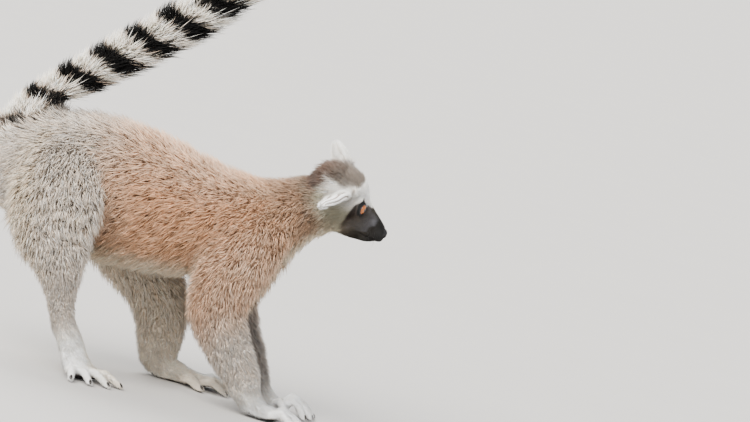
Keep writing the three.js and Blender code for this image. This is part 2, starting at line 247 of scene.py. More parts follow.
# %% [markdown]
# The head is lowered and turned, so its stations are written in its own axes, from the nose to the nape:
# x, top, bottom and half width, then the coat's numbers. Its hair is the finest and shortest of all. An
# ear is a leaf on a line of its own, with a few rows of half width and half thickness.

# %% Stations of the head and ears
HEAD = [
    (31.5, -4, -14, 6.5, 0.5, 20, 0.26),
    (28, -1.2, -19, 9, 0.6, 20, 0.26),
    (21, 2, -23.5, 10.5, 0.7, 20, 0.27),
    (12, 5, -27.5, 12.5, 0.8, 22, 0.28),
    (3, 8.8, -31.5, 16.5, 1.1, 24, 0.3),
    (-6, 16, -35, 22.5, 1.7, 26, 0.32),
    (-15, 23, -37, 28, 2.6, 30, 0.36),
    (-27, 25, -36, 31, 3.8, 34, 0.42),
    (-41, 22, -28, 27, 5.2, 38, 0.52),
    (-50, 17, -14, 20, 6.5, 40, 0.6),
]
EAR_LENGTH = 38
EAR_ROWS = [(0, 8.4, 6), (0.3, 13.5, 5), (0.6, 12.4, 4.2), (0.87, 6.8, 3)]
RIGHT_EAR = dict(root=(-25, -24, 5), tip=(-38, -50, -7), facing=(0.8, -0.35, -0.5))
LEFT_EAR = dict(root=(-27, 23, 8), tip=(-50, 39, 19), facing=(0.85, 0.3, 0.4))


def ear_line(name, root, tip, facing):
    """An ear's line from its root towards its tip. facing is where its hollow looks."""
    along = unit(np.array(tip, float) - root)
    stations = [(*(root + along * EAR_LENGTH * share), wide, thick, 0.5, 46, 0.3)
                for share, wide, thick in EAR_ROWS]
    return Line(name, stations, across=np.cross(along, facing), in_head=True)


def arm_stations(side):
    return [(x + ARM_REACH[side], side * y, *rest) for x, y, *rest in ARM]


head_stations = [(x, 0, (top + low) / 2, half, (top - low) / 2, *rest) for x, top, low, half, *rest in HEAD]
lines = [
    Line("trunk", TRUNK),
    Line("tail", TAIL),
    Line("arm_right", arm_stations(-1)),
    Line("arm_left", arm_stations(1)),
    Line("leg_right", RIGHT_LEG),
    Line("leg_left", LEFT_LEG),
    Line("head", head_stations, in_head=True),
    ear_line("ear_right", **RIGHT_EAR),
    ear_line("ear_left", **LEFT_EAR),
]
LINE = {line.name: index for index, line in enumerate(lines)}
print("lines:", ", ".join(f"{line.name} {line.distance[-1] * 1000:.0f} mm" for line in lines))

# %% [markdown]
# Where two parts meet, such as the thigh and the rump, a point belongs a little to both. The shares fall
# off quickly with the gap to each outline, so that one gives way to the other in about a centimetre. All
# that follows, from the skin's depth to a tuft's colour, is a mix by these shares, so no border shows.

# %% What the coat is like at a point
SHARE_FADE = 4.5 * MM


class Spots:
    """Where points lie on the body: their share in each line, and their place along and round it."""

    def __init__(self, points):
        found = [line.locate(points) for line in lines]
        self.points = points
        self.near = np.array([each[0] for each in found])
        self.gap = np.array([each[1] for each in found])
        self.angle = np.array([each[2] for each in found])
        self.distance = np.array([each[3] for each in found])
        share = np.exp(-(self.gap - self.gap.min(0)) / SHARE_FADE)
        self.share = share / share.sum(0)
        self.in_head = to_head(points) / MM

    def blend(self, field):
        """A number or vector of the lines' stations, mixed by the shares."""
        return sum((self.share[i] * getattr(line, field)[self.near[i]].T).T for i, line in enumerate(lines))

    def along(self, name):
        """How far along a line the points are, from 0 to 1."""
        index = LINE[name]
        return np.clip(self.distance[index] / lines[index].distance[-1], 0, 1)


def head_share(spots):
    """How much points belong to the head and its ears."""
    return spots.share[[LINE[name] for name in ("head", "ear_right", "ear_left")]].sum(0)


print("a point's share in a part falls off over", SHARE_FADE * 1000, "mm")

# %% [markdown]
# Hair points away from the nose on the head, and back along the line elsewhere. Long hair is heavy, so on
# the flanks it also hangs down a little. Two small helpers, a ramp and a smooth step, are used all over.

# %% Which way the hair runs
HANG = 0.7  # how much the hair of the trunk hangs down instead of lying back
HAIR_ORIGIN = NOSE_PLACE + np.array([4, 0, 2]) * MM  # where the hair of the head parts, just before the nose


def flow_at(spots):
    """Which way the hair runs: along the lines, and on the head away from the nose."""
    head = spots.share[LINE["head"]][:, None]
    from_nose = unit(spots.points - from_head(HAIR_ORIGIN))
    others = spots.blend("along") - head * lines[LINE["head"]].along[spots.near[LINE["head"]]]
    hanging = np.array([0, 0, -HANG]) * spots.share[LINE["trunk"]][:, None]
    return unit(others + head * from_nose + hanging)


def ramp(value, *stops):
    """A smooth ramp of numbers or colours, given as place and value pairs."""
    places = [stop[0] for stop in stops]
    values = np.array([stop[1] for stop in stops], float)
    if values.ndim == 1:
        return np.interp(value, places, values)
    return np.stack([np.interp(value, places, channel) for channel in values.T], -1)


def step(value, low, high):
    """0 below low, 1 above high, and smooth in between."""
    t = np.clip((value - low) / (high - low), 0, 1)
    return t * t * (3 - 2 * t)


print("hair hangs down on the trunk by", HANG, "of its way back")

# %% [markdown]
# ## Camera, light and floor
#
# The camera looks at the right side from a little above, from far off and with a long lens, as one does
# with a shy animal. It is rolled, so that the level floor looks like a slope that the animal comes down.
# Its place is worked out from the pixel where the drawing's origin should show.

# %% Camera
FRAME_WIDTH, FRAME_HEIGHT = 750, 422
PIXEL = 0.95 * MM  # what one pixel covers at the body
ORIGIN_PIXEL = (190, 394.7)  # where the drawing's origin shows
CAMERA_DISTANCE = 4.0
CAMERA_DROP = math.radians(5)
CAMERA_ROLL = math.radians(15)
SENSOR = 36

ahead = np.array([0, math.cos(CAMERA_DROP), -math.sin(CAMERA_DROP)])
level_up = np.array([0, math.sin(CAMERA_DROP), math.cos(CAMERA_DROP)])
level_right = np.array([1, 0, 0])
right = level_right * math.cos(CAMERA_ROLL) + level_up * math.sin(CAMERA_ROLL)
up = level_up * math.cos(CAMERA_ROLL) - level_right * math.sin(CAMERA_ROLL)
sideways = (ORIGIN_PIXEL[0] - FRAME_WIDTH / 2) * PIXEL
upwards = (FRAME_HEIGHT / 2 - ORIGIN_PIXEL[1]) * PIXEL
camera_place = drawing_shift - ahead * CAMERA_DISTANCE - right * sideways - up * upwards

camera_data = bpy.data.cameras.new("camera")
camera_data.sensor_width = SENSOR
camera_data.lens = SENSOR * CAMERA_DISTANCE / (PIXEL * FRAME_WIDTH)
camera_data.clip_end = 50
camera = bpy.data.objects.new("camera", camera_data)
bpy.context.scene.collection.objects.link(camera)
turned = Matrix(np.array([right, up, -ahead]).T.tolist())
camera.matrix_world = Matrix.Translation(camera_place) @ turned.to_4x4()
bpy.context.scene.camera = camera
print("the camera stands", round(camera_place[2], 2), "m high, its lens is", round(camera_data.lens), "mm")

# %% [markdown]
# A material is a tree of nodes. Wiring each by hand takes many lines, so a socket is wrapped in a small
# class whose operators add Math nodes, and any other node comes from one function. An expression such as
# `1 - mask` then reads as what it does.

# %% Materials from expressions
class Socket:
    """A shader socket with arithmetic. Any node comes from node()."""

    def __init__(self, tree, socket):
        self.tree, self.socket = tree, socket

    def maths(self, operation, *others):
        return node(self.tree, "ShaderNodeMath", {"operation": operation}, self, *others)

    def __add__(self, other):
        return self.maths("ADD", other)

    def __sub__(self, other):
        return self.maths("SUBTRACT", other)

    def __rsub__(self, other):
        return node(self.tree, "ShaderNodeMath", {"operation": "SUBTRACT"}, other, self)

    def __mul__(self, other):
        return self.maths("MULTIPLY", other)

    def __truediv__(self, other):
        return self.maths("DIVIDE", other)

    __radd__, __rmul__ = __add__, __mul__

    def between(self, low, high):
        """0 below low, 1 above high, and smooth in between."""
        settings = {"interpolation_type": "SMOOTHSTEP"}
        return node(self.tree, "ShaderNodeMapRange", settings, self, low, high)


def node(tree, kind, settings, *values, output=0, **named):
    """One shader node: settings first, then its sockets by place or by name."""
    made = tree.nodes.new(kind)
    for name, value in settings.items():
        setattr(made, name, value)
    for key, value in list(enumerate(values)) + list(named.items()):
        target = made.inputs[key if isinstance(key, int) else key.replace("_", " ")]
        if isinstance(value, Socket):
            tree.links.new(value.socket, target)
        else:
            target.default_value = value
    return Socket(tree, made.outputs[output])


def mix_colour(tree, factor, first, second):
    """The first colour where the factor is 0, and the second where it is 1."""
    made = tree.nodes.new("ShaderNodeMix")
    made.data_type = "RGBA"
    for target, value in zip((made.inputs[0], made.inputs[6], made.inputs[7]), (factor, first, second)):
        if isinstance(value, Socket):
            tree.links.new(value.socket, target)
        else:
            target.default_value = value
    return Socket(tree, made.outputs[2])


def surface(name):
    """A new material, its node tree and its Principled shader."""
    material = bpy.data.materials.new(name)
    material.use_nodes = True
    shader = material.node_tree.nodes["Principled BSDF"]
    return material, material.node_tree, shader


def feed(shader, **inputs):
    """Sets or wires a shader's inputs by name."""
    for name, value in inputs.items():
        target = shader.inputs[name.replace("_", " ")]
        if isinstance(value, Socket):
            value.tree.links.new(value.socket, target)
        else:
            target.default_value = value


def place_of(tree):
    """The place on the object, which noise of a true size needs."""
    return node(tree, "ShaderNodeTexCoord", {}, output=3)


def noise(tree, vector, scale, detail=3.0, rough=0.5):
    return node(tree, "ShaderNodeTexNoise", {}, Vector=vector, Scale=scale, Detail=detail, Roughness=rough)


def bump(tree, height, strength, distance):
    return node(tree, "ShaderNodeBump", {}, Strength=strength, Distance=distance, Height=height)


def linear(*srgb):
    """An 8-bit screen colour as the linear colour that shaders use."""
    share = np.array(srgb) / 255
    return np.where(share <= 0.04045, share / 12.92, ((share + 0.055) / 1.055) ** 2.4)


def colour(*srgb):
    return (*linear(*srgb), 1.0)


print("a screen's middle grey, 128, is", colour(128, 128, 128)[0].round(3), "to a shader")

# %% [markdown]
# A plain pale floor runs on past every view, so that no edge or wall shows. The light is soft and comes
# from three broad suns. A sun shines alike everywhere, while an area lamp would leave a pool of light on
# so wide a floor. The key comes from the upper left, behind the camera, and the rim from the far side.

# %% Floor and lights
FLOOR_SIZE = 90.0  # far enough that no view from above meets its edge
SKY_COLOUR = (0.95, 0.97, 1.0, 1.0)
SKY_STRENGTH = 0.82


def only_select(thing):
    """Makes one object the selected and the active one, as most operators ask."""
    bpy.ops.object.select_all(action="DESELECT")
    thing.select_set(True)
    bpy.context.view_layer.objects.active = thing


bpy.ops.mesh.primitive_plane_add(size=FLOOR_SIZE)
floor = bpy.context.active_object
floor.name = "floor"
pale, tree, shader = surface("pale_floor")
grain = noise(tree, place_of(tree), 6.0, 4.0)
pale_colour = mix_colour(tree, grain * 0.25, colour(192, 190, 187), colour(178, 176, 173))
feed(shader, Base_Color=pale_colour, Roughness=0.9)
floor.data.materials.append(pale)
floor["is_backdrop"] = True

LIGHTS = [  # name, where it comes from, its breadth in degrees, strength, colour
    ("key", (-1.1, -1.5, 1.65), 46, 4.3, (1.0, 0.97, 0.92)),
    ("fill", (1.8, -2.4, 0.65), 50, 1.1, (0.98, 0.98, 1.0)),
    ("rim", (-0.6, 1.2, 1.55), 35, 2.2, (1.0, 0.98, 0.95)),
]
for name, place, breadth, strength, tint in LIGHTS:
    lamp = bpy.data.lights.new(name, "SUN")
    lamp.energy, lamp.color, lamp.angle = strength, tint, math.radians(breadth)
    light = bpy.data.objects.new(name, lamp)
    bpy.context.scene.collection.objects.link(light)
    light.location = place
    light.rotation_euler = (-light.location).to_track_quat("-Z", "Y").to_euler()
world = bpy.data.worlds.new("studio")
world.use_nodes = True
feed(world.node_tree.nodes["Background"], Color=SKY_COLOUR, Strength=SKY_STRENGTH)
bpy.context.scene.world = world
bpy.context.scene.view_settings.look = "AgX - Medium High Contrast"
print("floor and", len(LIGHTS), "lights")

# %% [markdown]
# ## One skin
#
# The real animal has one skin without seams. It could be sculpted over the solids, or the solids could be
# joined with booleans, which leave a crease at every joint. A voxel remesh makes one closed surface from
# all of them instead, once the copies are swollen until they touch.

# %% Join the flesh into one surface
BARE_NODES = ["eye_right", "eye_left", "nose"]  # these fill their places, and get pieces of their own later
FLESH = sorted(set(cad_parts) - set(BARE_NODES))
SWELL = 0.4 * MM
VOXEL = 1.4 * MM
SAME_PLACE = 0.001 * MM  # corners closer than this are one

bpy.ops.object.select_all(action="DESELECT")
for name in FLESH + BARE_NODES:
    part = bpy.data.objects.new("skin_" + name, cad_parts[name].data.copy())
    bpy.context.scene.collection.objects.link(part)
    part.select_set(True)
    bpy.context.view_layer.objects.active = part
bpy.ops.object.join()
skin = bpy.context.active_object
skin.name = "skin"
bpy.ops.object.mode_set(mode="EDIT")
bpy.ops.mesh.select_all(action="SELECT")
bpy.ops.mesh.remove_doubles(threshold=SAME_PLACE)
bpy.ops.object.mode_set(mode="OBJECT")


def finish_with(thing, kind, **settings):
    """Adds one modifier and applies it."""
    only_select(thing)
    modifier = thing.modifiers.new(kind.lower(), kind)
    for key, value in settings.items():
        setattr(modifier, key, value)
    bpy.ops.object.modifier_apply(modifier=modifier.name)


finish_with(skin, "DISPLACE", strength=SWELL, mid_level=0)
finish_with(skin, "REMESH", mode="VOXEL", voxel_size=VOXEL)
print("one surface of", len(skin.data.vertices), "points")

# %% [markdown]
# The solids have broad facets. A Smooth modifier takes them away, and a vertex group says how much: all of
# it on the trunk and thighs, and next to nothing on the face, fingers and toes, which it would shrink.
# Arrays from numpy do this far faster than a loop over the points, so two helpers read and write them.

# %% Smooth it, most where the solids are broad
SMOOTHINGS = 70
THIN, BROAD = 9 * MM, 19 * MM  # half widths of the body where the smoothing starts and is full
HEAD_KEPT = 0.8  # how much of it the head is spared
LEAST_SOFT = 0.04


def read(thing, field="co", width=3, of="vertices"):
    """One field of a mesh's points, edges or faces as an array, which is the points' places by default."""
    items = getattr(thing.data, of)
    values = np.empty(len(items) * width, np.float32)
    items.foreach_get(field, values)
    return values.reshape(-1, width).astype(float) if width > 1 else values.astype(float)


def write(thing, places):
    """Moves a mesh's points to new places."""
    thing.data.vertices.foreach_set("co", places.astype(np.float32).ravel())
    thing.data.update()


def weigh(thing, name, weights):
    """A vertex group from an array, in a hundred levels."""
    group = thing.vertex_groups.new(name=name)
    levels = np.rint(np.clip(weights, 0, 1) * 100).astype(int)
    for level in range(1, 101):
        found = np.flatnonzero(levels == level)
        if len(found):
            group.add(found.tolist(), level / 100, "REPLACE")
    return group.name


spots = Spots(read(skin))
girth = spots.blend("wide")
softness = step(girth, THIN, BROAD) * (1 - HEAD_KEPT * head_share(spots)) + LEAST_SOFT
finish_with(skin, "SMOOTH", factor=0.5, iterations=SMOOTHINGS, vertex_group=weigh(skin, "soft", softness))
print("smoothed, with a mean softness of", softness.mean().round(2))

# %% [markdown]
# How deep the coat is comes from the stations, with two changes on the head: the hair is longer on the
# cheeks and nearly gone round the eyes. The head's own axes are in millimetres.

# %% The coat's depth
CHEEK_HAIR = 2.5 * MM
EYE_HAIR_LOST = 0.75  # the share of the depth that is lost close to an eye


def eye_gap(in_head):
    """How far points lie from the nearer eyeball, in millimetres."""
    eye = EYE_PLACE / MM
    mirrored = np.column_stack([in_head[:, 0], abs(in_head[:, 1]), in_head[:, 2]])
    return np.linalg.norm(mirrored - eye, axis=1) - EYE_RADIUS / MM


def coat_depth(spots):
    """How far the coat's outline stands over the skin."""
    depth = spots.blend("coat")
    x, y, z = spots.in_head.T
    in_head = spots.share[LINE["head"]]
    cheek = step(-x, 0, 30) * step(-z, 0, 22)
    near_eye = 1 - step(eye_gap(spots.in_head), 1.5, 9)
    depth = depth + in_head * cheek * CHEEK_HAIR
    return depth * (1 - EYE_HAIR_LOST * in_head * near_eye)


spots = Spots(read(skin))
depth = coat_depth(spots)
print("the coat is up to", (depth.max() * 1000).round(1), "mm deep")

# %% [markdown]
# The skin goes in by that depth along its own normals. In one go the surface would fold over itself in the
# groins, so it goes in by stages and is evened out after each. Soles and palms are bare and stay where
# they are, on the floor.

# %% Pull the skin in by the coat's depth
BARE_SOLE_HEIGHT = 3 * MM
FULLNESS = 0.8 * MM  # makes up for what the smoothing took from the head, hands and feet
FLAT_COAT = 1 * MM  # a coat as shallow as this lies flat
PULLS = 4
PULL_SMOOTHINGS = 8


def normals_of(thing):
    """Which way is out, at each point of a mesh."""
    return read(thing, "vector", of="vertex_normals")


faces_down = step(-normals_of(skin)[:, 2], 0.2, 0.7)
sole = (1 - step(spots.points[:, 2], BARE_SOLE_HEIGHT, 3 * BARE_SOLE_HEIGHT)) * faces_down
slender = np.maximum(spots.share[LINE["head"]], 1 - step(depth, 2 * MM, 5 * MM))
depth = (depth**2 / (depth + FLAT_COAT) + SWELL - FULLNESS * slender) * (1 - sole)
body = weigh(skin, "body", step(depth, 2 * MM, 6 * MM))
for _ in range(PULLS):
    places = read(skin) - normals_of(skin) * depth[:, None] / PULLS
    places[:, 2] = np.maximum(places[:, 2], 0)
    write(skin, places)
    finish_with(skin, "SMOOTH", factor=0.5, iterations=PULL_SMOOTHINGS, vertex_group=body)
print("the skin went in by up to", (depth.max() * 1000).round(1), "mm")

# %% [markdown]
# A second, finer remesh makes the faces even again. The coat hides the skin of the trunk, so there
# the faces are thinned out to a tenth. The head, hands and feet keep theirs.

# %% Even out the skin's faces
FINE_VOXEL = 1.1 * MM
FINE_FACES = 0.1  # the share of the body's faces that stays
SHORT_COAT = 2.2 * MM  # skin under a coat as short as this keeps its faces


def select_faces(thing, of_points):
    """Selects the faces whose points are all marked."""
    marks = np.asarray(of_points, bool)
    starts = read(thing, "loop_start", 1, "polygons").astype(int)
    corner_points = read(thing, "vertex_index", 1, "loops").astype(int)
    chosen = np.logical_and.reduceat(marks[corner_points], starts)
    thing.data.polygons.foreach_set("select", chosen)
    thing.data.edges.foreach_set("select", np.zeros(len(thing.data.edges), bool))
    thing.data.vertices.foreach_set("select", np.zeros(len(thing.data.vertices), bool))
    only_select(thing)
    bpy.context.tool_settings.mesh_select_mode = (False, False, True)
    return chosen.sum()


finish_with(skin, "REMESH", mode="VOXEL", voxel_size=FINE_VOXEL)
spots = Spots(read(skin))
plain = (head_share(spots) < 0.4) & (spots.blend("coat") > SHORT_COAT)
found = select_faces(skin, plain)
bpy.ops.object.mode_set(mode="EDIT")
bpy.ops.mesh.decimate(ratio=FINE_FACES)
bpy.ops.object.mode_set(mode="OBJECT")
bpy.ops.object.shade_smooth()
print(found, "broad faces thinned, and the skin now has", len(skin.data.polygons), "faces")

# %% [markdown]
# ## The face
#
# The face is the part that people look at, and folds of half a millimetre need faces smaller than that.
# Subdividing all of the skin would make it too heavy, so only the front of the head is subdivided, and
# once more round the eyes. Each time the new points are evened out, or the old facets would show.

# %% Refine the face
FACE_BACK = -24  # in the head's own axes, in millimetres
EYE_AREA = 5.5


def halve(chosen, evenings):
    """Cuts the edges of the skin's chosen faces in half and evens the points out."""
    select_faces(skin, chosen)
    bpy.ops.object.mode_set(mode="EDIT")
    bpy.ops.mesh.subdivide(number_cuts=1)
    bpy.ops.mesh.vertices_smooth(factor=0.5, repeat=evenings)
    bpy.ops.object.mode_set(mode="OBJECT")


spots = Spots(read(skin))
halve((head_share(spots) > 0.6) & (spots.in_head[:, 0] > FACE_BACK), 4)
halve(eye_gap(to_head(read(skin)) / MM) < EYE_AREA, 2)
print("the skin has", len(skin.data.polygons), "faces")

# %% [markdown]
# The thin skin of the ears has folds that run along it. A sine wave round the ear's line lifts the ridges
# and presses the creases, and a second wave along it bends them. The markings later ask the same wave, so
# the painted shade of the creases lies where the skin is pressed in.

# %% Crinkle the ears
RIDGES = 7  # round an ear
RIDGE_HEIGHT = 0.55 * MM
RIDGE_BEND = 3.2 * MM  # how far along the ear a fold runs before it has bent by one radian


def ear_wave(spots, name):
    """1 on a ridge of the ear and -1 in a crease."""
    index = LINE[name]
    wave = np.sin(RIDGES * spots.angle[index] + 1.1 * np.sin(spots.distance[index] / RIDGE_BEND))
    return wave * step(spots.along(name), 0.12, 0.3)


spots = Spots(read(skin))
places, normals = read(skin), normals_of(skin)
for name in ("ear_right", "ear_left"):
    places += normals * (ear_wave(spots, name) * spots.share[LINE[name]] * RIDGE_HEIGHT)[:, None]
write(skin, places)
print("each ear has", RIDGES, "folds")

# %% [markdown]
# Then come a few moves that a sculptor would make. The line of the mouth is pressed in, with a soft upper
# lip above it. The lower jaw is set back a little. Where the nose will sit, the skin sinks under it.

# %% Shape the mouth and the place of the nose
MOUTH_HEIGHT = -18  # in millimetres, as all here
MOUTH_SLOPE = 0.105
MOUTH_LEVEL_AT = 4  # where its line is just that high
MOUTH_START, MOUTH_END = 0, 33
MOUTH_FADE = 5
MOUTH_DEPTH = 1.1
MOUTH_HALF = 0.75
LIP_RISE = 0.5
LIP_AT, LIP_HALF = 2.2, 1.4  # over the mouth's line
JAW_BACK = 2.0
NOSE_RADII = np.array([4.6, 6.0, 5.0]) * MM
NOSE_SINK = 0.2  # how much nearer to the nose's middle the skin under it goes


def off_nose(points):
    """0 at the middle of the nose and 1 on its surface."""
    return np.linalg.norm((to_head(points) - NOSE_PLACE) / NOSE_RADII, axis=1)


places, normals = read(skin), normals_of(skin)
x, y, z = (to_head(places) / MM).T
off_line = z - (MOUTH_HEIGHT + MOUTH_SLOPE * (x - MOUTH_LEVEL_AT))
in_mouth = step(x, MOUTH_START, MOUTH_START + MOUTH_FADE) * (1 - step(x, MOUTH_END, MOUTH_END + 2))
groove = np.exp(-((off_line / MOUTH_HALF) ** 2)) * in_mouth * MOUTH_DEPTH
upper_lip = np.exp(-(((off_line - LIP_AT) / LIP_HALF) ** 2)) * in_mouth * LIP_RISE
in_head = to_head(places - normals * ((groove - upper_lip) * MM)[:, None])
in_head[:, 0] -= JAW_BACK * MM * step(-off_line, -0.2, 1.5) * step(x, 18, 30)
off = off_nose(from_head(in_head))
in_head = NOSE_PLACE + (in_head - NOSE_PLACE) * (1 - NOSE_SINK * (1 - step(off, 1.0, 1.3)))[:, None]
write(skin, from_head(in_head))
print("the mouth's line is", MOUTH_DEPTH, "mm deep")

# %% [markdown]
# Lids could be shells of their own, but then a gap shows between them and the face. So the skin itself is
# laid over the eyeball, with a fold in the upper lid, and inside the opening it sinks behind the ball.
# Each eye has its own axes, whose Z is the gaze.

# %% Lay the lids over the eyes
GAZE_OUT = math.radians(26)
GAZE_UP = math.radians(22)
SIDES = {"right": -1, "left": 1}
OPENING_ACROSS, OPENING_UP = math.radians(47), math.radians(42)
LID_HEIGHT = 1.0 * MM
LID_THICKENS = 0.5 * MM  # how much higher a lid is away from its edge
UPPER_FOLD_AT, LOWER_FOLD_AT = 24, 20  # degrees from the lids' edge
FOLD_DEPTH = 0.35 * MM
LOWER_FOLD = 0.6  # the lower lid's fold, as a share of the upper one's
SINK = 1.2 * MM  # how far the skin lies under the ball's surface inside the opening


def eye_axes(side):
    """An eye's own axes as columns: across, up and the gaze."""
    level = math.cos(GAZE_UP)
    gaze = HEAD_AXES @ [level * math.cos(GAZE_OUT), side * level * math.sin(GAZE_OUT), math.sin(GAZE_UP)]
    upward = unit(HEAD_AXES[:, 2] - gaze * (HEAD_AXES[:, 2] @ gaze))
    return np.column_stack([np.cross(upward, gaze), upward, gaze])


def eye_middle(side):
    """side is 1 on the left and -1 on the right."""
    return from_head(EYE_PLACE * (1, side, 1))


def opening_at(around):
    """The angle off the gaze of the lids' edge, for an angle round the eye."""
    edge = 1 / np.hypot(np.cos(around) / OPENING_ACROSS, np.sin(around) / OPENING_UP)
    return edge * (1 - 0.08 * step(np.sin(around), 0, 1))


places = read(skin)
for side in SIDES.values():
    own = (places - eye_middle(side)) @ eye_axes(side)
    reach = np.linalg.norm(own, axis=1)
    away = np.arccos(np.clip(own[:, 2] / reach, -1, 1))
    around = np.arctan2(own[:, 1], own[:, 0])
    past = np.degrees(away - opening_at(around))
    fold = np.exp(-(((past - UPPER_FOLD_AT) / 4.5) ** 2)) * step(np.sin(around), -0.2, 0.7)
    fold += LOWER_FOLD * np.exp(-(((past - LOWER_FOLD_AT) / 4) ** 2)) * step(-np.sin(around), -0.1, 0.7)
    lid = EYE_RADIUS + LID_HEIGHT + LID_THICKENS * step(past, 10, 45) - FOLD_DEPTH * fold
    wanted = (EYE_RADIUS - SINK) + (lid - EYE_RADIUS + SINK) * step(past, 3, 8)
    hold = (1 - step(np.degrees(away), 72, 108)) * (reach < 2 * EYE_RADIUS)
    own *= (1 + hold * (wanted / reach - 1))[:, None]
    places = eye_middle(side) + own @ eye_axes(side).T
write(skin, places)
bpy.ops.object.shade_smooth()
print("lids laid over", len(SIDES), "eyes")

# %% [markdown]
# ## Markings
#
# The pattern could be painted on an image, but an image has only so many dots, and the tufts need a colour
# for each root anyway. So one function gives the colour anywhere on the animal, and the skin and every
# tuft ask it. These are its colours, in the numbers of a screen.

# %% Colours
GREY = linear(212, 203, 193)
PALE_GREY = linear(222, 212, 200)
RUST = linear(204, 165, 135)
GREY_RUST = linear(210, 182, 159)
BROWN = linear(196, 164, 138)
DARK_BROWN = linear(112, 94, 84)
CAP = linear(114, 106, 98)
CREAM = linear(222, 208, 188)
# the lower face's cream, partly its own colour and partly painted shade and painted green bounce light
CHEEK_CREAM_AND_BOUNCE = linear(208, 206, 184)
WHITE = linear(248, 245, 239)
# painted shade: the dark grey of the forearm's inner side stands for shade
INNER_ARM_SHADE = linear(138, 131, 126)
# the muzzle's dark grey sides, lightened and made bluish by a painted highlight
MUZZLE_GREY_AND_HIGHLIGHT = linear(72, 73, 79)
BLACK = linear(11, 10, 10)
STAIN = linear(176, 128, 88)
SOLE = linear(52, 47, 46)


def mix(first, second, share):
    """Two colours mixed, where share is how much of the second there is."""
    share = np.asarray(share)[..., None]
    return first * (1 - share) + second * share


print("halfway from rust to cream is", mix(RUST, CREAM, 0.5).round(2))

# %% [markdown]
# The tail has about fourteen black rings and a black tip, and its white rings are stained at their edges.
# A ring's place is its distance along the tail, shifted by how far up a point lies, so that the rings lean
# as the hair does.

# %% The tail's rings
RING_PERIOD = 37 * MM
FIRST_WHITE = 25 * MM  # the middle of the first white ring
WHITE_HALF = 9 * MM
RING_EDGE = 1 * MM
RING_LEAN = 7 * MM  # how far back a ring starts on the tail's upper side
RING_SPREAD = 1 * MM  # how much broader the white is there
DARK_FROM, DARK_FULL = 25 * MM, 44 * MM  # the rings fade in after the tail's root
BLACK_TIP = 553 * MM
STAINED = 4 * MM  # how broad the stain at a ring's edge is


def tail_colour(distance, upness):
    """The rings, which lean back on the upper side. The first dark ones are narrow."""
    place = distance + RING_LEAN * upness
    half = WHITE_HALF + RING_SPREAD * upness + ramp(distance, (40 * MM, 4.5 * MM), (95 * MM, 0))
    phase = abs((place - FIRST_WHITE + RING_PERIOD / 2) % RING_PERIOD - RING_PERIOD / 2)
    dark = step(phase, half - RING_EDGE, half + RING_EDGE)
    dark = dark * step(distance, DARK_FROM, DARK_FULL)
    dark = np.maximum(dark, step(place, BLACK_TIP - RING_EDGE, BLACK_TIP))
    stain = step(phase, half - STAINED, half) * 0.5
    pale = mix(mix(CREAM, WHITE, 0.6), STAIN, stain * ramp(distance, (0, 1), (250 * MM, 0.35)))
    return mix(pale, BLACK, dark)


print("black rings:", round((BLACK_TIP - FIRST_WHITE) / RING_PERIOD))

# %% [markdown]
# The rump and thighs are a warm grey, the flanks and shoulders rust, the belly and throat cream, and the
# hands and feet white. Each limb is paler at the back and on its inner side, apart from the inner side of
# the forearm, which is painted dark grey as painted shade.

# %% Trunk and limbs
def trunk_colour(along, height):
    """height is 1 along the spine and -1 under the belly."""
    back = ramp(along, (0, DARK_BROWN), (0.18, BROWN), (0.4, GREY_RUST), (0.62, GREY_RUST), (0.8, GREY))
    side = ramp(along, (0, DARK_BROWN), (0.14, BROWN), (0.3, RUST), (0.55, RUST), (0.7, GREY_RUST),
                (0.82, GREY))
    upper = mix(side, back, step(height, 0.15, 0.85))
    return mix(CREAM, upper, step(height, -0.97, -0.62))


def arm_colour(along, outward, forward):
    """outward is 1 on the outer side and -1 on the inner one, and forward is 1 in front and -1 behind."""
    outer = ramp(along, (0, BROWN), (0.2, GREY_RUST), (0.42, GREY_RUST), (0.6, GREY), (0.75, GREY),
                 (0.9, WHITE))
    rusty = mix(outer, RUST, 0.55 * step(-forward, -0.3, 0.8) * ramp(along, (0, 1), (0.5, 0.6), (0.65, 0)))
    # the inner side of the forearm is painted dark grey, as painted shade
    inner = ramp(along, (0.35, CREAM), (0.5, INNER_ARM_SHADE), (0.8, INNER_ARM_SHADE), (0.95, WHITE))
    return mix(mix(outer, inner, 0.8), rusty, step(outward, -0.5, 0.3))


def leg_colour(along, outward, forward):
    outer = ramp(along, (0, GREY), (0.3, PALE_GREY), (0.55, GREY), (0.72, GREY), (0.88, WHITE))
    back = mix(outer, CREAM, 0.75 * step(-forward, 0.3, 0.9) * ramp(along, (0.2, 1), (0.7, 0)))
    return mix(mix(outer, CREAM, 0.6), back, step(outward, -0.5, 0.2))


print("the belly's cream is", CREAM.round(2), "and the flanks' rust", RUST.round(2))
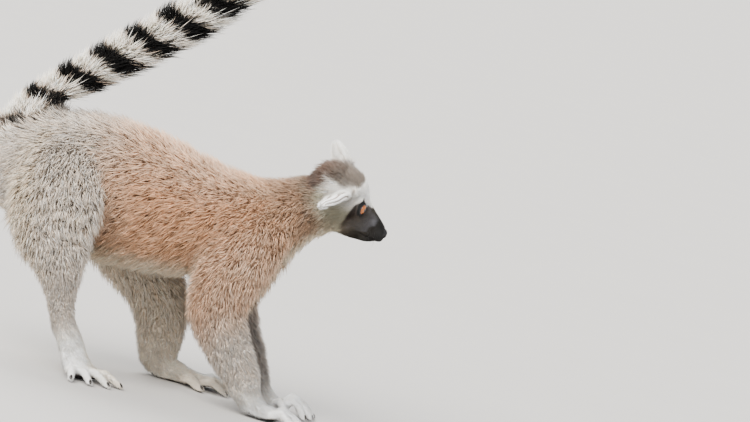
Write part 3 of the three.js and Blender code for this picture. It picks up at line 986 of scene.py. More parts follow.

# %% [markdown]
# The face is white under a grey-brown cap, with black patches round the eyes and a muzzle that is black on
# top, at its tip and along the lips. The muzzle's sides are dark grey with a painted bluish highlight, and
# the lower face turns from white to a cream that also holds painted shade and painted green bounce light.
# White runs down between the eyes. The edges are ramps in the head's own axes, in millimetres.

# %% The face's pattern
def head_colour(in_head):
    """The face's pattern, from places in the head's own axes."""
    x, y, z = in_head.T
    side = abs(y)
    cap_edge = ramp(x, (-60, 4), (-38, 9), (-29, 11), (-24, 12.5), (-19, 14.5), (-15, 18), (-12, 26))
    cap = step(z - cap_edge, -1.2, 1.2)
    nape = step(-x, 37, 46) * step(z, -22, -8)
    # white above and cream below: partly cream hair, partly painted shade and painted green bounce light
    face = mix(WHITE, CHEEK_CREAM_AND_BOUNCE, step(-z, -4, 9))
    face = mix(face, mix(CAP, DARK_BROWN, step(-x, 36, 48)), np.maximum(cap, nape))
    # The mask's rear edge, and the white bridge between the eyes.
    back = x - ramp(z, (-40, 2), (-24, -2.5), (-18, -7), (-11, -8.8), (-3, -10.8), (3.5, -11.3), (9.3, -8.3),
                    (12.2, -4.7), (14, 3))
    bridge = ramp(x, (-15, 13), (-6, 8.5), (2, 6), (6, 3), (10, -3))
    mask = step(back, -0.9, 0.9) * step(side - bridge, -0.8, 0.8)
    eye = 1 - step(eye_gap(in_head), 3.5, 8)
    rear = (1 - step(back, 3, 6)) * (1 - step(x, -2, 4))
    tip = step(x - ramp(z, (-22, 2), (-15, 11), (-12, 15.5), (-7, 14.6), (-3, 18), (3, 17.5)), -1.5, 1.5)
    lips = 1 - step(abs(z - (MOUTH_HEIGHT + MOUTH_SLOPE * (x - MOUTH_LEVEL_AT))), 1.2, 3)
    top = step(x, 4, 9) * (1 - step(side, 3, 8)) * 0.85
    black = np.maximum.reduce([eye, rear, tip, lips * step(x, 0, 5), top, step(-z, 18.5, 21)])
    # Painted shade of a dark slit that leads into the right ear.
    run = np.clip(((x + 19.5) * -0.4 + (z - 12) * -0.92) / 6.5, 0, 1)
    ear_slit_shade = 1 - step(np.hypot(x + 19.5 + 2.6 * run, z - 12 + 6 * run), 0.6, 1.7)
    face = mix(face, DARK_BROWN, ear_slit_shade * step(-y, 12, 15))
    # the mask's grey is the muzzle's dark hair with a painted bluish highlight
    return mix(face, mix(MUZZLE_GREY_AND_HIGHLIGHT, BLACK, black), mask)


forehead = np.array([[-18, 0, 30], [-12, 0, 15]])
print("crown and bridge:", head_colour(forehead).round(2).tolist())

# %% [markdown]
# The ears are white and darker deep inside the hollow, with painted shade in the creases, which is faint on
# the left ear, whose longer hair hides its creases. After that, `markings` mixes all the parts by their
# shares.

# %% The ears, and all markings
# painted shade in each ear's creases, as a share of the way to dark brown
CREASE_SHADE = {"ear_right": 0.9, "ear_left": 0.3}
HOLLOW_DEPTH = 3 * MM


def ear_colour(spots, name):
    """White hair, darker deep in the hollow, and painted shade in the creases."""
    index = LINE[name]
    facing = -np.sin(spots.angle[index])
    inside = step(facing, 0.2, 0.7) * step(-spots.gap[index], 0, HOLLOW_DEPTH)
    inside *= 1 - step(spots.along(name), 0.75, 0.95)
    # painted shade where the skin is pressed into a crease
    painted_crease_shade = CREASE_SHADE[name] * step(-ear_wave(spots, name), 0.35, 0.85)
    return mix(np.broadcast_to(WHITE, (len(facing), 3)), DARK_BROWN, np.maximum(inside, painted_crease_shade))


def markings(spots, tail_shift=0):
    """The coat's colour at each point. tail_shift moves the rings back along the tail."""
    parts = [
        trunk_colour(spots.along("trunk"), -np.sin(spots.angle[LINE["trunk"]])),
        tail_colour(spots.distance[LINE["tail"]] + tail_shift, np.sin(spots.angle[LINE["tail"]])),
    ]
    for name, side, limb in (("arm_right", -1, arm_colour), ("arm_left", 1, arm_colour),
                             ("leg_right", -1, leg_colour), ("leg_left", 1, leg_colour)):
        angle = spots.angle[LINE[name]]
        parts.append(limb(spots.along(name), side * np.cos(angle), np.sin(angle)))
    parts.append(head_colour(spots.in_head))
    parts += [ear_colour(spots, name) for name in ("ear_right", "ear_left")]
    return sum(share[:, None] * part for share, part in zip(spots.share, parts))


print(len(lines), "parts have a colour of their own")

# %% [markdown]
# The skin gets the same colours, painted a little lighter as painted light: it stands for the light that
# hair scatters into the gaps between tufts, so that they stay light. Palms, soles, lids and the skin round
# the nose are bare and dark. The colours are kept as an attribute of the mesh's points.

# %% Mark the skin
# painted light under the coat, for the light that hair scatters into the gaps between tufts
GAP_LIGHT = 1.15  # how much lighter than the coat
BRIGHTEST = 0.95
LID_GAPS = (1.03, 1.2)  # millimetres over the eyeball where the bare lid ends and the hair starts


def paint(thing, name, values):
    """A colour for each point of a mesh."""
    layer = thing.data.color_attributes.new(name, "FLOAT_COLOR", "POINT")
    filled = np.ones((len(values), 4), np.float32)
    filled[:, :3] = values
    layer.data.foreach_set("color", filled.ravel())


skin_spots = Spots(read(skin))
on_floor = step(-normals_of(skin)[:, 2], 0.3, 0.6) * (1 - step(skin_spots.points[:, 2], 4 * MM, 8 * MM))
on_lids = 1 - step(eye_gap(skin_spots.in_head), *LID_GAPS)
bare = np.maximum(on_lids, 1 - step(off_nose(skin_spots.points), 1.0, 1.25))
# the skin painted lighter than the coat, as painted light in the gaps between tufts
gap_lit_skin = (markings(skin_spots) * GAP_LIGHT).clip(0, BRIGHTEST)
paint(skin, "coat", mix(mix(gap_lit_skin, SOLE, on_floor), BLACK, bare))
print("bare and dark:", int((np.maximum(bare, on_floor) > 0.5).sum()), "of", len(bare), "points")

# %% [markdown]
# ## The coat
#
# Real fur is far too fine to model hair by hair, and hair curves are not used, so that all of the coat is
# plain meshes. So each tuft stands for a small lock: a thin solid blade with three sides, closed all
# round. Roots are strewn over the skin by the area of its faces, closer where the tufts are thin.

# %% Strew the roots
TUFT_SEED = 7
TUFTS = 306_000
BROAD_TUFT = 1 * MM  # the density is given for tufts this wide
HEAD_DENSITY = 2.3  # the hair of the head is this much closer
SPACING_POWER = 1.6  # how much closer thin tufts stand than broad ones
random = np.random.default_rng(TUFT_SEED)

skin.data.calc_loop_triangles()
faces = read(skin, "vertices", 3, "loop_triangles").astype(int)
places, normals = read(skin), normals_of(skin)
triangles = places[faces]
sides = triangles[:, 1:] - triangles[:, :1]
areas = np.linalg.norm(np.cross(sides[:, 0], sides[:, 1]), axis=1) / 2
density = (BROAD_TUFT / skin_spots.blend("tuft")) ** SPACING_POWER * (1 - on_floor) * (1 - bare)
density *= 1 + (HEAD_DENSITY - 1) * skin_spots.share[LINE["head"]]
weights = areas * density[faces].mean(1)
chances = np.cumsum(weights) / weights.sum()
picks = np.searchsorted(chances, (np.arange(TUFTS) + random.random(TUFTS)) / TUFTS).clip(max=len(faces) - 1)
share = random.random((TUFTS, 2))
share = np.where(share.sum(1, keepdims=True) > 1, 1 - share, share)
corner_share = np.column_stack([1 - share.sum(1), share])[..., None]


def at_roots(values):
    """A number or vector of the skin's points, read off at each root."""
    values = values.reshape(len(values), -1)
    return (values[faces[picks]] * corner_share).sum(1)


roots = at_roots(places)
root_normals = unit(at_roots(normals))
root_spots = Spots(roots)
print(f"{TUFTS} roots on {areas.sum() * 1e4:.0f} square centimetres of skin")

# %% [markdown]
# Where two lines meet, their directions differ, and tufts that followed them exactly would part and show
# the skin. So the lie of the coat is first evened out over the skin, from each point to its neighbours.

# %% The lie of the coat
EVENINGS = 40
PULL_OF_OTHERS = 0.8  # what a neighbour counts for, next to the point itself


def even_out(thing, vectors, times):
    """Blends unit vectors on a mesh's points with those of their neighbours, along the surface."""
    ends = read(thing, "vertices", 2, "edges").astype(int)
    both = np.concatenate([ends, ends[:, ::-1]])
    both = both[np.argsort(both[:, 0], kind="stable")]
    counts = np.bincount(both[:, 0], minlength=len(vectors))
    starts = np.concatenate([[0], np.cumsum(counts)[:-1]]).clip(max=len(both) - 1)
    for _ in range(times):
        around = np.add.reduceat(vectors[both[:, 1]], starts, axis=0)
        vectors = unit(vectors + PULL_OF_OTHERS * around * (counts > 0)[:, None])
        vectors = unit(vectors - normals * (vectors * normals).sum(1, keepdims=True))
    return vectors


flow = even_out(skin, flow_at(skin_spots), EVENINGS)
root_flow = at_roots(flow)
root_flow = unit(root_flow - root_normals * (root_flow * root_normals).sum(1, keepdims=True))
moved = np.degrees(np.arccos(np.clip((flow * flow_at(skin_spots)).sum(1), -1, 1)))
print("evening out turned the lie of the coat by", moved.mean().round(), "degrees on average")

# %% [markdown]
# The body has two kinds of tuft. Long ones bend once on their way. Between them, and all over the face,
# hands and feet, stand short straight ones, which need only four faces and so can be far more. Where they
# all lay alike the coat would look combed, so slow waves of noise turn neighbours the same way, which
# makes locks, and each tuft strays a little from its neighbours as well.

# %% Which tufts, and how they turn
WAVES = 14
TURN = math.radians(19)  # how far the noise turns a tuft about its root
STRAIGHT_SHARE = 0.5  # of the body's tufts
STRAIGHT_WIDTH = 0.5 * MM  # tufts thinner than this are straight wherever they stand


def waves(points, size, seed):
    """Smooth noise of about that size, from sine waves in random directions."""
    draw = np.random.default_rng(seed)
    heading = unit(draw.normal(size=(WAVES, 3))) * (2 * np.pi / (size * draw.uniform(0.7, 1.6, (WAVES, 1))))
    return np.sin(points @ heading.T + draw.uniform(0, 2 * np.pi, WAVES)).sum(1) / math.sqrt(WAVES / 2)


tuft_width = root_spots.blend("tuft")
straight = (random.random(TUFTS) < STRAIGHT_SHARE) | (tuft_width < STRAIGHT_WIDTH)
turn = TURN * (0.5 * waves(roots, 14 * MM, 1) + 0.6 * random.normal(size=TUFTS))
sideways = np.cross(root_normals, root_flow)
lay = root_flow * np.cos(turn)[:, None] + sideways * np.sin(turn)[:, None]
side_way = np.cross(root_normals, lay)
print(straight.sum(), "straight tufts and", (~straight).sum(), "bent ones")

# %% [markdown]
# A tuft leaves the skin more steeply than it ends, at the slant of its place on average, and is as long as
# it takes to come near the outline of the frame's solids. On top of the tail the hair stands out, as it
# does when the tail is held up, and below it lies flatter. The hair of the ears is longer than their
# thin walls are deep.

# %% Bend the tufts
LEAN = math.radians(11)  # how far a tuft's slant strays
LENGTH_SPREAD = 0.2
LONGEST = 2.2  # a tuft's length, as a share of the coat's depth
SHORTER = 0.8  # the straight tufts between the bent ones
EAR_HAIR = {"ear_right": 1.8, "ear_left": 3.4}
START_SLANT, END_SLANT = 1.25, 0.7
TAIL_LIFT = math.radians(16)
ROOT_DEPTH = 0.4 * MM  # how deep a root sits in the skin

upness = np.sin(root_spots.angle[LINE["tail"]]) * root_spots.share[LINE["tail"]]
slant = np.radians(root_spots.blend("slant")) + TAIL_LIFT * upness
lean = LEAN * (0.5 * waves(roots, 9 * MM, 2) + 0.7 * random.normal(size=TUFTS))
spread = np.exp(LENGTH_SPREAD * (0.4 * waves(roots, 20 * MM, 3) + random.normal(size=TUFTS))).clip(0.5, 1.3)
tilts = np.stack([slant * START_SLANT + lean, slant * END_SLANT + 0.8 * lean]).clip(0.1, 1.45)
depth = coat_depth(root_spots)
tuft_length = (depth / np.sin(tilts).mean(0)).clip(max=LONGEST * depth) * spread
tuft_length *= np.where(straight & (tuft_width >= STRAIGHT_WIDTH), SHORTER, 1)
for name, longer in EAR_HAIR.items():
    tuft_length *= 1 + (longer - 1) * root_spots.share[LINE[name]]
spine = [roots - root_normals * ROOT_DEPTH]
for tilt in tilts:
    heading = lay * np.cos(tilt)[:, None] + root_normals * np.sin(tilt)[:, None]
    spine.append(spine[-1] + heading * (tuft_length / len(tilts))[:, None])
spine = np.stack(spine, 1)
spine[..., 2] = np.maximum(spine[..., 2], 0.4 * MM)
print("the longest tuft is", (tuft_length.max() * 1000).round(1), "mm")

# %% [markdown]
# All of a tuft has the colour of its root, so that the tail's rings stay crisp, but shifted along the tail
# by how far the hair lies back. The tips are a little lighter, and each tuft is a little lighter or darker,
# warmer or colder than the next. On the cap this grizzle is strong.

# %% Colour the tufts
TIP_SHADE = 1.12
SHADE_SPREAD = 0.1
GRIZZLE = 0.25
WARMTH_SPREAD = 0.04
RING_REACH = 0.75  # how far the hair carries a ring along the tail, as a share of the coat's depth

grizzle = root_spots.share[LINE["head"]] * step(root_spots.in_head[:, 2], 8, 16)
variety = SHADE_SPREAD + (GRIZZLE - SHADE_SPREAD) * grizzle
shade = np.exp(variety * random.normal(size=TUFTS) + 0.6 * SHADE_SPREAD * waves(roots, 9 * MM, 4))
warmth = WARMTH_SPREAD * random.normal(size=TUFTS)
tint = np.column_stack([1 + warmth, np.ones(TUFTS), 1 - warmth]) * shade[:, None]
on_tail = root_spots.share[LINE["tail"]] > 0.5
own_colour = markings(root_spots, np.where(on_tail, depth * RING_REACH, 0)) * tint
fade = 1 + (TIP_SHADE - 1) * np.array([0, 0.5, 1])
colours = np.clip(own_colour[:, None] * fade[:, None], 0, BRIGHTEST)
print("the coat's mean colour is", own_colour.mean(0).round(2))

# %% [markdown]
# A copy of a modelled blade for each tuft would take hours, so their points are worked out together, as
# arrays. A blade's flat side faces out. Each coat piece also gets a map, OFBake, which unrolls the skin
# along and round the part's line, and in which each tuft is a small patch at its root's place.

# %% Points and faces of the tufts
PATCH = 0.003  # the side of a tuft's patch in the map
FLATNESS = 0.45  # a blade's thickness, as a share of its width
KEEL = 1.4  # how far its third edge stands out, in thicknesses
RING = np.arange(3)

width_spread = random.uniform(0.75, 1.25, TUFTS)


def blades(chosen, spots_on_map, bent):
    """Points, faces, map and colours of tufts. A straight one is three-sided from its root to its tip. A
    bent one is thickest at its bend, and runs to a point both ways."""
    line = spine[chosen]
    half = (tuft_width * width_spread)[chosen][:, None] / 2
    across = side_way[chosen] * half
    over = unit(np.cross(unit(line[:, 2] - line[:, 0]), side_way[chosen])) * half * FLATNESS
    middle = line[:, 1 if bent else 0]
    ring = [middle - across - over, middle + across - over, middle + over * KEEL]
    points = np.stack([line[:, 0], *ring, line[:, 2]] if bent else [*ring, line[:, 2]], 1)
    points[..., 2] = np.maximum(points[..., 2], 0.1 * MM)
    k, after = RING, (RING + 1) % 3
    if bent:
        pattern = [*zip(0 * k, 1 + after, 1 + k), *zip(1 + k, 1 + after, 4 + 0 * k)]
        patch = [((k + 0.5, 0), (k + 1, 1), (k, 1)) for k in RING]
        patch += [((k, 1), (k + 1, 1), (k + 0.5, 2)) for k in RING]
    else:
        pattern = [(0, 2, 1), *zip(k, after, 3 + 0 * k)]
        patch = [((0, 0), (1.5, 0.4), (3, 0)), *(((k, 0.5), (k + 1, 0.5), (k + 0.5, 2)) for k in RING)]
    patch = (np.array(patch).reshape(-1, 2) / (3, 2) - 0.5) * PATCH
    indices = np.arange(len(chosen))[:, None, None] * points.shape[1] + np.array(pattern)
    tones = colours[chosen][:, [0, 1, 1, 1, 2] if bent else [0, 0, 0, 2]]
    on_map = spots_on_map[:, None, :] + patch
    return points.reshape(-1, 3), indices.reshape(-1), on_map.reshape(-1, 2), tones.reshape(-1, 3)


sample = blades(np.arange(1), np.zeros((1, 2)), True)
print("a bent tuft has", len(sample[0]), "points and", len(sample[1]) // 3, "faces")

# %% [markdown]
# Each part of the body has its own coat piece, and the largest are split along their line to stay light
# enough. A tuft belongs to the part that has the largest share in its root.

# %% Make the coat's pieces
MAP_MARGIN = 0.01
MOST_FACES = 195_000
BENT_FACES, STRAIGHT_FACES = 6, 4


def coat_piece(name, chosen, along, around):
    """One mesh of long and short tufts."""
    on_map = np.column_stack([along, around]) * (1 - 2 * MAP_MARGIN) + MAP_MARGIN
    short = straight[chosen]
    groups = [blades(chosen[~short], on_map[~short], True), blades(chosen[short], on_map[short], False)]
    indices = np.concatenate([groups[0][1], groups[1][1] + len(groups[0][0])])
    points, uv, tones = [np.concatenate([group[k] for group in groups]) for k in (0, 2, 3)]
    mesh = bpy.data.meshes.new(name)
    mesh.vertices.add(len(points))
    mesh.vertices.foreach_set("co", points.astype(np.float32).ravel())
    mesh.loops.add(len(indices))
    mesh.loops.foreach_set("vertex_index", indices.astype(np.int32))
    mesh.polygons.add(len(indices) // 3)
    mesh.polygons.foreach_set("loop_start", np.arange(0, len(indices), 3, dtype=np.int32))
    mesh.update(calc_edges=True)
    mesh.polygons.foreach_set("use_smooth", np.ones(len(indices) // 3, bool))
    mesh.uv_layers.new(name="OFBake").data.foreach_set("uv", uv.astype(np.float32).ravel())
    made = bpy.data.objects.new(name, mesh)
    bpy.context.scene.collection.objects.link(made)
    paint(made, "coat", tones)
    return made


owner = root_spots.share.argmax(0)
coat_pieces = []
for index, line in enumerate(lines):
    owned = np.flatnonzero(owner == index)
    owned = owned[np.argsort(root_spots.distance[index][owned], kind="stable")]
    total = np.where(straight[owned], STRAIGHT_FACES, BENT_FACES).cumsum()
    pieces = math.ceil(total[-1] / MOST_FACES)
    limits = np.searchsorted(total, total[-1] * np.arange(1, pieces) / pieces)
    for number, chosen in enumerate(np.split(owned, limits)):
        distance = root_spots.distance[index][chosen]
        along = (distance - distance.min()) / np.ptp(distance)
        around = root_spots.angle[index][chosen] / (2 * math.pi) + 0.5
        name = f"coat_{line.name}" + (f"_{number + 1}" if pieces > 1 else "")
        piece = coat_piece(name, chosen, along, around)
        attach(piece, "root")
        coat_pieces.append(piece)
print("coat:", ", ".join(f"{piece.name} {len(piece.data.polygons)}" for piece in coat_pieces))
print(sum(len(piece.data.polygons) for piece in coat_pieces), "faces of coat in all")

# %% [markdown]
# Hair scatters light softly and has a faint sheen. A principled shader with a little sheen and a low
# specular does for the tufts, since their own shapes break up the light. A slow mottle darkens some of
# them. The skin under them has a fine grain instead, as bump.

# %% Finish the coat and the skin
SHADOW = (0.02, 0.017, 0.015, 1)
MOTTLE_SCALE, MOTTLE_SHADE = 140.0, 0.25
GRAIN_SCALE, GRAIN_SHADE = 900.0, 0.1

coat, tree, shader = surface("coat")
own = node(tree, "ShaderNodeAttribute", {"attribute_name": "coat"})
mottle = noise(tree, place_of(tree), MOTTLE_SCALE, 2.0)
feed(shader, Base_Color=mix_colour(tree, (mottle - 0.4) * MOTTLE_SHADE, own, SHADOW), Roughness=0.62)
shader.inputs["Sheen Weight"].default_value = 0.08
shader.inputs["Sheen Roughness"].default_value = 0.5
shader.inputs["Specular IOR Level"].default_value = 0.2
for piece in coat_pieces:
    piece.data.materials.append(coat)

hide, tree, shader = surface("skin")
own = node(tree, "ShaderNodeAttribute", {"attribute_name": "coat"})
grain = noise(tree, place_of(tree), GRAIN_SCALE, 3.0)
feed(shader, Base_Color=mix_colour(tree, grain * GRAIN_SHADE, own, SHADOW), Roughness=0.75,
     Normal=bump(tree, grain, 0.5, 0.0006))
skin.data.materials.clear()
skin.data.materials.append(hide)
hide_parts(*FLESH)
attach(skin, "root")
print("finished", coat.name, "on", len(coat_pieces), "pieces and", hide.name, "on one")

# %% [markdown]
# ## Eyes
#
# A lemur's eye is a ball whose front bulges a little into the cornea. A clear shell over a modelled iris
# would be truer, but at this size one ball with a clear coat looks the same. Each of its points keeps its
# place in the eye's own axes as an attribute, for the material.

# %% Eyeballs
IRIS_RADIUS = 4.9 * MM
PUPIL_RADIUS = 1.9 * MM
CORNEA_BULGE = 0.9 * MM
CORNEA_BREADTH = 1.08  # as a share of the iris

eyeballs = []
for name, side in SIDES.items():
    bpy.ops.mesh.primitive_uv_sphere_add(segments=64, ring_count=48, radius=EYE_RADIUS)
    ball = bpy.context.active_object
    ball.name = f"eyeball_{name}"
    own = read(ball)
    off_gaze = np.hypot(own[:, 0], own[:, 1])
    dome = np.clip(1 - (off_gaze / (CORNEA_BREADTH * IRIS_RADIUS)) ** 2, 0, 1)
    bulge = CORNEA_BULGE * dome * (own[:, 2] > 0)
    paint(ball, "eye_place", own / EYE_RADIUS)
    write(ball, eye_middle(side) + (own * (1 + bulge / EYE_RADIUS)[:, None]) @ eye_axes(side).T)
    bpy.ops.object.shade_smooth()
    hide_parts(f"eye_{name}")
    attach(ball, "root")
    eyeballs.append(ball)
print("eyeballs:", ", ".join(ball.name for ball in eyeballs))

# %% [markdown]
# The material finds the pupil, the iris and its dark rim by how far off the gaze a point lies. The fibres of
# the iris are noise that is stretched along the radius, in two tones of amber that darken outwards.

# %% Iris and pupil
PUPIL_SOFT, RIM_SOFT = 0.02, 0.1
FIBRE_SCALE = 7.0

iris, tree, shader = surface("eye")
place = node(tree, "ShaderNodeAttribute", {"attribute_name": "eye_place"}, output=1)
x, y = [node(tree, "ShaderNodeSeparateXYZ", {}, place, output=k) for k in (0, 1)]
off_axis = (x * x + y * y).maths("SQRT")
spokes = node(tree, "ShaderNodeCombineXYZ", {}, x / (off_axis + 0.02), y / (off_axis + 0.02), off_axis * 1.5)
fibres = noise(tree, spokes, FIBRE_SCALE, 3.0, 0.6)
iris_edge, pupil_edge = IRIS_RADIUS / EYE_RADIUS, PUPIL_RADIUS / EYE_RADIUS
inner = mix_colour(tree, fibres.between(0.3, 0.7), colour(142, 66, 14), colour(206, 128, 40))
outer = mix_colour(tree, fibres.between(0.3, 0.7), colour(100, 42, 8), colour(170, 92, 24))
amber = mix_colour(tree, off_axis.between(pupil_edge, iris_edge), inner, outer)
pupil = 1 - off_axis.between(pupil_edge - PUPIL_SOFT, pupil_edge + PUPIL_SOFT)
dark = (off_axis.between(iris_edge - RIM_SOFT, iris_edge) + pupil).maths("MINIMUM", 1.0)
feed(shader, Base_Color=mix_colour(tree, dark, amber, colour(9, 7, 6)), Roughness=0.25)
shader.inputs["Coat Weight"].default_value = 1.0
shader.inputs["Coat Roughness"].default_value = 0.04
for ball in eyeballs:
    ball.data.materials.append(iris)
print("the pupil is", round(2000 * PUPIL_RADIUS, 1), "mm across, the iris", round(2000 * IRIS_RADIUS, 1))

# %% [markdown]
# The lids' edges are a rim of black skin that comes out from under the lids and touches the ball. A
# stretched torus would do for a round opening, but this one is longer than it is high. So each rim starts
# as a flat grid that is wrapped round the eye: across the grid is the way round the opening, and up the
# grid is the way out from its edge.

# %% Rims of the lids
RIM_COLUMNS, RIM_ROWS = 72, 10
RIM_WIDTH = math.radians(15)
RIM_THICKNESS = 0.5 * MM
RIM_FOOT, RIM_RISE, RIM_FALL = 0.15, 0.6, 0.5  # millimetres: over the ball, up from there and down again


def face_outwards(thing, merge=0):
    """Points all faces outwards, once points closer than merge are one."""
    only_select(thing)
    bpy.ops.object.mode_set(mode="EDIT")
    bpy.ops.mesh.select_all(action="SELECT")
    if merge:
        bpy.ops.mesh.remove_doubles(threshold=merge)
    bpy.ops.mesh.normals_make_consistent(inside=False)
    bpy.ops.object.mode_set(mode="OBJECT")


rims = []
for name, side in SIDES.items():
    bpy.ops.mesh.primitive_grid_add(x_subdivisions=RIM_COLUMNS, y_subdivisions=RIM_ROWS, size=2)
    rim = bpy.context.active_object
    rim.name = f"lid_rim_{name}"
    grid = read(rim)
    around, out = math.pi * grid[:, 0], (grid[:, 1] + 1) / 2
    away = opening_at(around) + RIM_WIDTH * out
    height = RIM_FOOT + RIM_RISE * step(out, 0, 0.3) - RIM_FALL * step(out, 0.6, 1)
    own = np.column_stack([np.sin(away) * np.cos(around), np.sin(away) * np.sin(around), np.cos(away)])
    write(rim, eye_middle(side) + (own * (EYE_RADIUS + height * MM)[:, None]) @ eye_axes(side).T)
    face_outwards(rim, merge=0.01 * MM)
    finish_with(rim, "SOLIDIFY", thickness=RIM_THICKNESS, offset=-1)
    bpy.ops.object.shade_smooth()
    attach(rim, "root")
    rims.append(rim)
print("rims of", len(rims[0].data.polygons), "faces each")

# %% [markdown]
# ## Nose, whiskers and nails
#
# The nose is a pad of bare black skin with two nostrils and a groove between them. Cutting the nostrils
# with a boolean would leave sharp edges. Here a fine ball is pushed in and out along its radius instead:
# in at the nostrils and the groove, and out round the nostrils, for their wings.

# %% Nose
NOSTRIL = np.array([0.72, 0.6, -0.12])  # the left one, on the unit ball
NOSTRIL_SIZE, SLIT_LENGTH = 0.21, 0.42  # on the unit ball, as the next two lines
WING_AT, WING_HALF = 0.36, 0.14
GROOVE_HALF = 0.055
NOSTRIL_DEPTH = 1.7 * MM
WING_HEIGHT = 0.35 * MM
GROOVE_DEPTH = 0.55 * MM

bpy.ops.mesh.primitive_uv_sphere_add(segments=96, ring_count=64, radius=1)
nose = bpy.context.active_object
nose.name = "nose_leather"
ball = read(nose)[:, [2, 0, 1]]  # the sphere's pole points forwards
mirrored = ball.copy()
mirrored[:, 1] = abs(ball[:, 1])
to_side = mirrored - unit(NOSTRIL)
# A nostril is a comma: round in front, with a slit that runs back and a little up.
slit_way = unit(np.array([-0.6, 0.75, 0.28]))
run = np.clip(to_side @ slit_way, 0, SLIT_LENGTH)
off_nostril = np.linalg.norm(to_side - run[:, None] * slit_way, axis=1)
pit = np.exp(-((off_nostril / (NOSTRIL_SIZE - 0.24 * run)) ** 2)) * (1 - 1.2 * run)
wing = np.exp(-(((off_nostril - WING_AT) / WING_HALF) ** 2)) * WING_HEIGHT
groove = np.exp(-((ball[:, 1] / GROOVE_HALF) ** 2)) * step(-ball[:, 2], -0.5, 0.3) * GROOVE_DEPTH
push = wing - groove - pit * NOSTRIL_DEPTH
shaped = ball * NOSE_RADII * (1 - 0.1 * step(-ball[:, 2:], 0.2, 1) * (0, 1, 0)) + ball * push[:, None]
write(nose, from_head(shaped + NOSE_PLACE))
face_outwards(nose)
bpy.ops.object.shade_smooth()
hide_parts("nose")
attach(nose, "root")
print("nose of", len(nose.data.polygons), "faces")

# %% [markdown]
# Whiskers are thin tapering threads. Curves with a bevel would make them too, but a few hundred points in
# one mesh are lighter. They start on the upper lip, above the eyes and on the cheeks, at the point of the
# skin that is nearest to a place in the head's own axes, and bend back and down.

# %% Whiskers
WHISKER_SEED = 21
WHISKER_SCATTER = 0.4  # millimetres
WHISKER_STRAY = 0.12
WHISKER_DEPTH = 0.5 * MM  # how deep they sit in the skin
WHISKER_RADIUS = 0.09 * MM
WHISKER_STEPS = 8
WHISKER_SIDES = 5
WHISKER_SAG = HEAD_AXES @ [-0.42, 0, -0.1]  # which way they bend, and how much
WHISKER_ROOTS = [  # x, y, z on the left side, and the length
    *[(x, 9, -8 - 2.4 * row - 0.12 * (x - 20), 15 + 0.9 * (26 - x) + 2 * row)
      for row in range(3) for x in (25, 20.5, 16)],
    (1, 11, 11, 9), (-1, 13, 13, 11), (-4, 15, 14, 8), (-6, 25, -20, 14), (-8, 24, -24, 12),
]


def threads(name, starts, headings, lengths, sag, steps=WHISKER_STEPS, sides=WHISKER_SIDES):
    """Tapering threads that leave their starts along the headings and bend by the sag, as one mesh."""
    t = np.linspace(0, 1, steps + 1)
    run = (lengths[:, None] * t)[..., None]
    line = starts[:, None] + headings[:, None] * run + sag * run * t[:, None]
    heading = unit(np.gradient(line, axis=1))
    side = unit(np.cross(heading, [0.3, 0.2, 0.93]))
    over = np.cross(heading, side)
    girth = WHISKER_RADIUS * (1 - t[:-1]) ** 0.7
    angles = 2 * np.pi * np.arange(sides) / sides
    ring = side[:, :, None] * np.cos(angles)[:, None] + over[:, :, None] * np.sin(angles)[:, None]
    rings = line[:, :-1, None] + ring[:, :-1] * girth[:, None, None]
    count, tip = len(starts), steps * sides
    points = np.concatenate([rings.reshape(count, tip, 3), line[:, -1:]], 1)
    faces = [tuple(range(sides))[::-1]]
    for row in range(steps - 1):
        for k in range(sides):
            b, c = row * sides + k, row * sides + (k + 1) % sides
            faces.append((b, c, c + sides, b + sides))
    last = (steps - 1) * sides
    faces += [(last + k, last + (k + 1) % sides, tip) for k in range(sides)]
    every = [tuple(point + n * (tip + 1) for point in face) for n in range(count) for face in faces]
    mesh = bpy.data.meshes.new(name)
    mesh.from_pydata(points.reshape(-1, 3).tolist(), [], every)
    made = bpy.data.objects.new(name, mesh)
    bpy.context.scene.collection.objects.link(made)
    face_outwards(made)
    bpy.ops.object.shade_smooth()
    return made


draw = np.random.default_rng(WHISKER_SEED)
table = np.array([(x, side * y, z, length) for side in SIDES.values() for x, y, z, length in WHISKER_ROOTS])
table[:, :3] += draw.normal(size=(len(table), 3)) * WHISKER_SCATTER
wanted = from_head(table[:, :3] * MM)
nearest = ((skin_spots.points[:, None] - wanted) ** 2).sum(2).argmin(0)
starts, outward = skin_spots.points[nearest], normals_of(skin)[nearest]
stray = draw.normal(size=(len(table), 3)) * WHISKER_STRAY
headings = unit(unit(outward) + (HEAD_AXES @ [0.1, 0, -0.1]) + stray)
lengths = table[:, 3] * MM * draw.uniform(0.85, 1.2, len(table))
whiskers = threads("whiskers", starts - outward * WHISKER_DEPTH, headings, lengths, WHISKER_SAG)
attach(whiskers, "root")
print(len(table), "whiskers")

# %% [markdown]
# A lemur has flat dark nails. They could be cut out of the skin's own faces, but there they would be only a
# few faces each. So each is a small flattened ball, bent down at its sides and at its tip. The digits are
# fanned about each paw's heading, as in the frame, and a nail lies on the rounded end of each.

# %% Nails
NAIL_SIZE = np.array([2.7, 1.5, 0.75]) * MM  # half its length, breadth and thickness
SIDE_BEND, TIP_BEND = 160, 45  # per metre
NAIL_RISE, NAIL_FORWARD = 0.25 * MM, 1.2 * MM
PAD_SHARE = 0.5  # the digit's middle is this share of its radius above the floor
HAND = dict(heading=4, fan=44, reaches=(24, 30, 32, 27), breadth=18, radius=4.5, thumb=(8, 9, 52, 21, 4.4))
FOOT = dict(reaches=(30, 32, 31, 27), radius=5.1)
PAWS = [
    dict(HAND, place=(82, -38), side=-1, heading=-4),
    dict(HAND, place=(88, 38), side=1),
    dict(FOOT, place=(-100, -89), side=-1, heading=-50, fan=62, breadth=27, thumb=(9, 16, 62, 32, 5.6)),
    dict(FOOT, place=(4, 66), side=1, heading=4, fan=46, breadth=22, thumb=(9, 16, 55, 30, 5.6),
         reaches=(29, 32, 31, 27)),
]


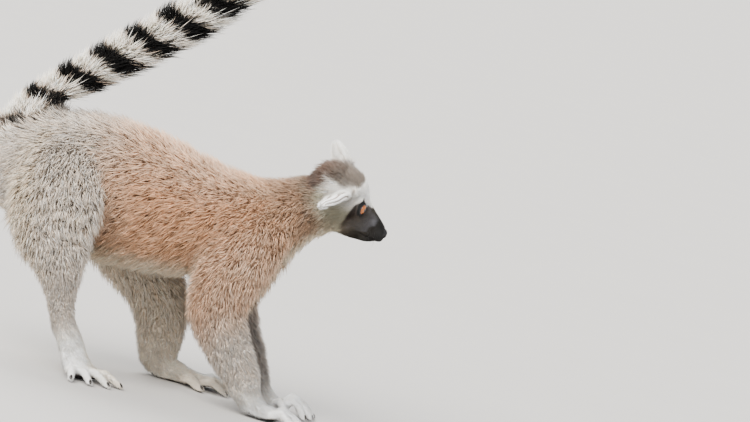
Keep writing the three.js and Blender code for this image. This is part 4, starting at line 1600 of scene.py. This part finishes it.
def digit_ends(paw):
    """For each digit: where its middle ends, which way it points in degrees, and its radius there."""
    turned = math.radians(paw["heading"])
    ahead, across = np.array([[math.cos(turned), math.sin(turned)], [-math.sin(turned), math.cos(turned)]])
    roots = []
    for index, reach in enumerate(paw["reaches"]):
        share = index / 3 - 0.5
        heading = turned + math.radians(paw["side"] * share * paw["fan"])
        roots.append((np.array(paw["place"]) + across * paw["side"] * share * paw["breadth"], heading, reach,
                      paw["radius"]))
    offset, back, splay, reach, radius = paw["thumb"]
    root = np.array(paw["place"]) - across * paw["side"] * offset - ahead * back
    roots.append((root, turned - math.radians(paw["side"] * splay), reach, radius))
    for root, heading, reach, radius in roots:
        way = np.array([math.cos(heading), math.sin(heading), 0])
        yield np.array([*root, PAD_SHARE * radius]) + way * reach, way, radius * 0.8


skin_normals = normals_of(skin)
nails = []
for paw in PAWS:
    for end, way, radius in digit_ends(paw):
        above = end * MM + drawing_shift + way * 0.6 * MM + np.array([0, 0, radius]) * MM
        nearest = ((skin_spots.points - above) ** 2).sum(1).argmin()
        upward = unit(skin_normals[nearest] + way * 0.15)
        onward = unit(way - upward * (way @ upward))
        axes = np.column_stack([onward, np.cross(upward, onward), upward])
        bpy.ops.mesh.primitive_uv_sphere_add(segments=20, ring_count=14, radius=1)
        nail = bpy.context.active_object
        own = read(nail) * NAIL_SIZE
        own[:, 2] -= own[:, 1] ** 2 * SIDE_BEND + np.maximum(own[:, 0], 0) ** 2 * TIP_BEND
        bed = skin_spots.points[nearest] + upward * NAIL_RISE + onward * NAIL_FORWARD
        write(nail, bed + own @ axes.T)
        nails.append(nail)
bpy.ops.object.select_all(action="DESELECT")
for nail in nails:
    nail.select_set(True)
bpy.context.view_layer.objects.active = nails[0]
bpy.ops.object.join()
nail = bpy.context.active_object
nail.name = "nails"
bpy.ops.object.shade_smooth()
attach(nail, "root")
print(len(nails), "nails")

# %% [markdown]
# Bare skin is black and a little moist, with a fine net of creases like leather: the edges of Voronoi cells
# as bump. The nails are smooth dark horn, and the whiskers plain dark threads.

# %% Bare skin and horn
LEATHER_CELLS = 1500.0

leather, tree, shader = surface("bare_skin")
cells = node(tree, "ShaderNodeTexVoronoi", {"feature": "DISTANCE_TO_EDGE"}, Vector=place_of(tree),
             Scale=LEATHER_CELLS)
fine = noise(tree, place_of(tree), 700.0, 3.0)
feed(shader, Base_Color=mix_colour(tree, fine, colour(16, 14, 15), colour(34, 31, 32)), Roughness=0.42,
     Normal=bump(tree, cells.between(0.0, 0.25) * 0.7 + fine * 0.6, 0.55, 0.00025))
for piece in (*rims, nose):
    piece.data.materials.append(leather)

horn, tree, shader = surface("horn")
grain = noise(tree, place_of(tree), 600.0, 2.0)
feed(shader, Base_Color=mix_colour(tree, grain, colour(22, 19, 18), colour(52, 45, 40)), Roughness=0.35)
nail.data.materials.append(horn)
thread, tree, shader = surface("whisker")
feed(shader, Base_Color=colour(30, 27, 26), Roughness=0.4)
whiskers.data.materials.append(thread)
print("bare skin, nails and whiskers finished")

# %% [markdown]
# ## Sizes
#
# The frame's box and the dressed one are printed side by side.

# %% Print the sizes
dressed_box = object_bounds()
sizes = [[list(corner) for corner in cad_box], [list(corner) for corner in dressed_box]]
print("the frame's box", sizes[0], "and the dressed one", sizes[1])
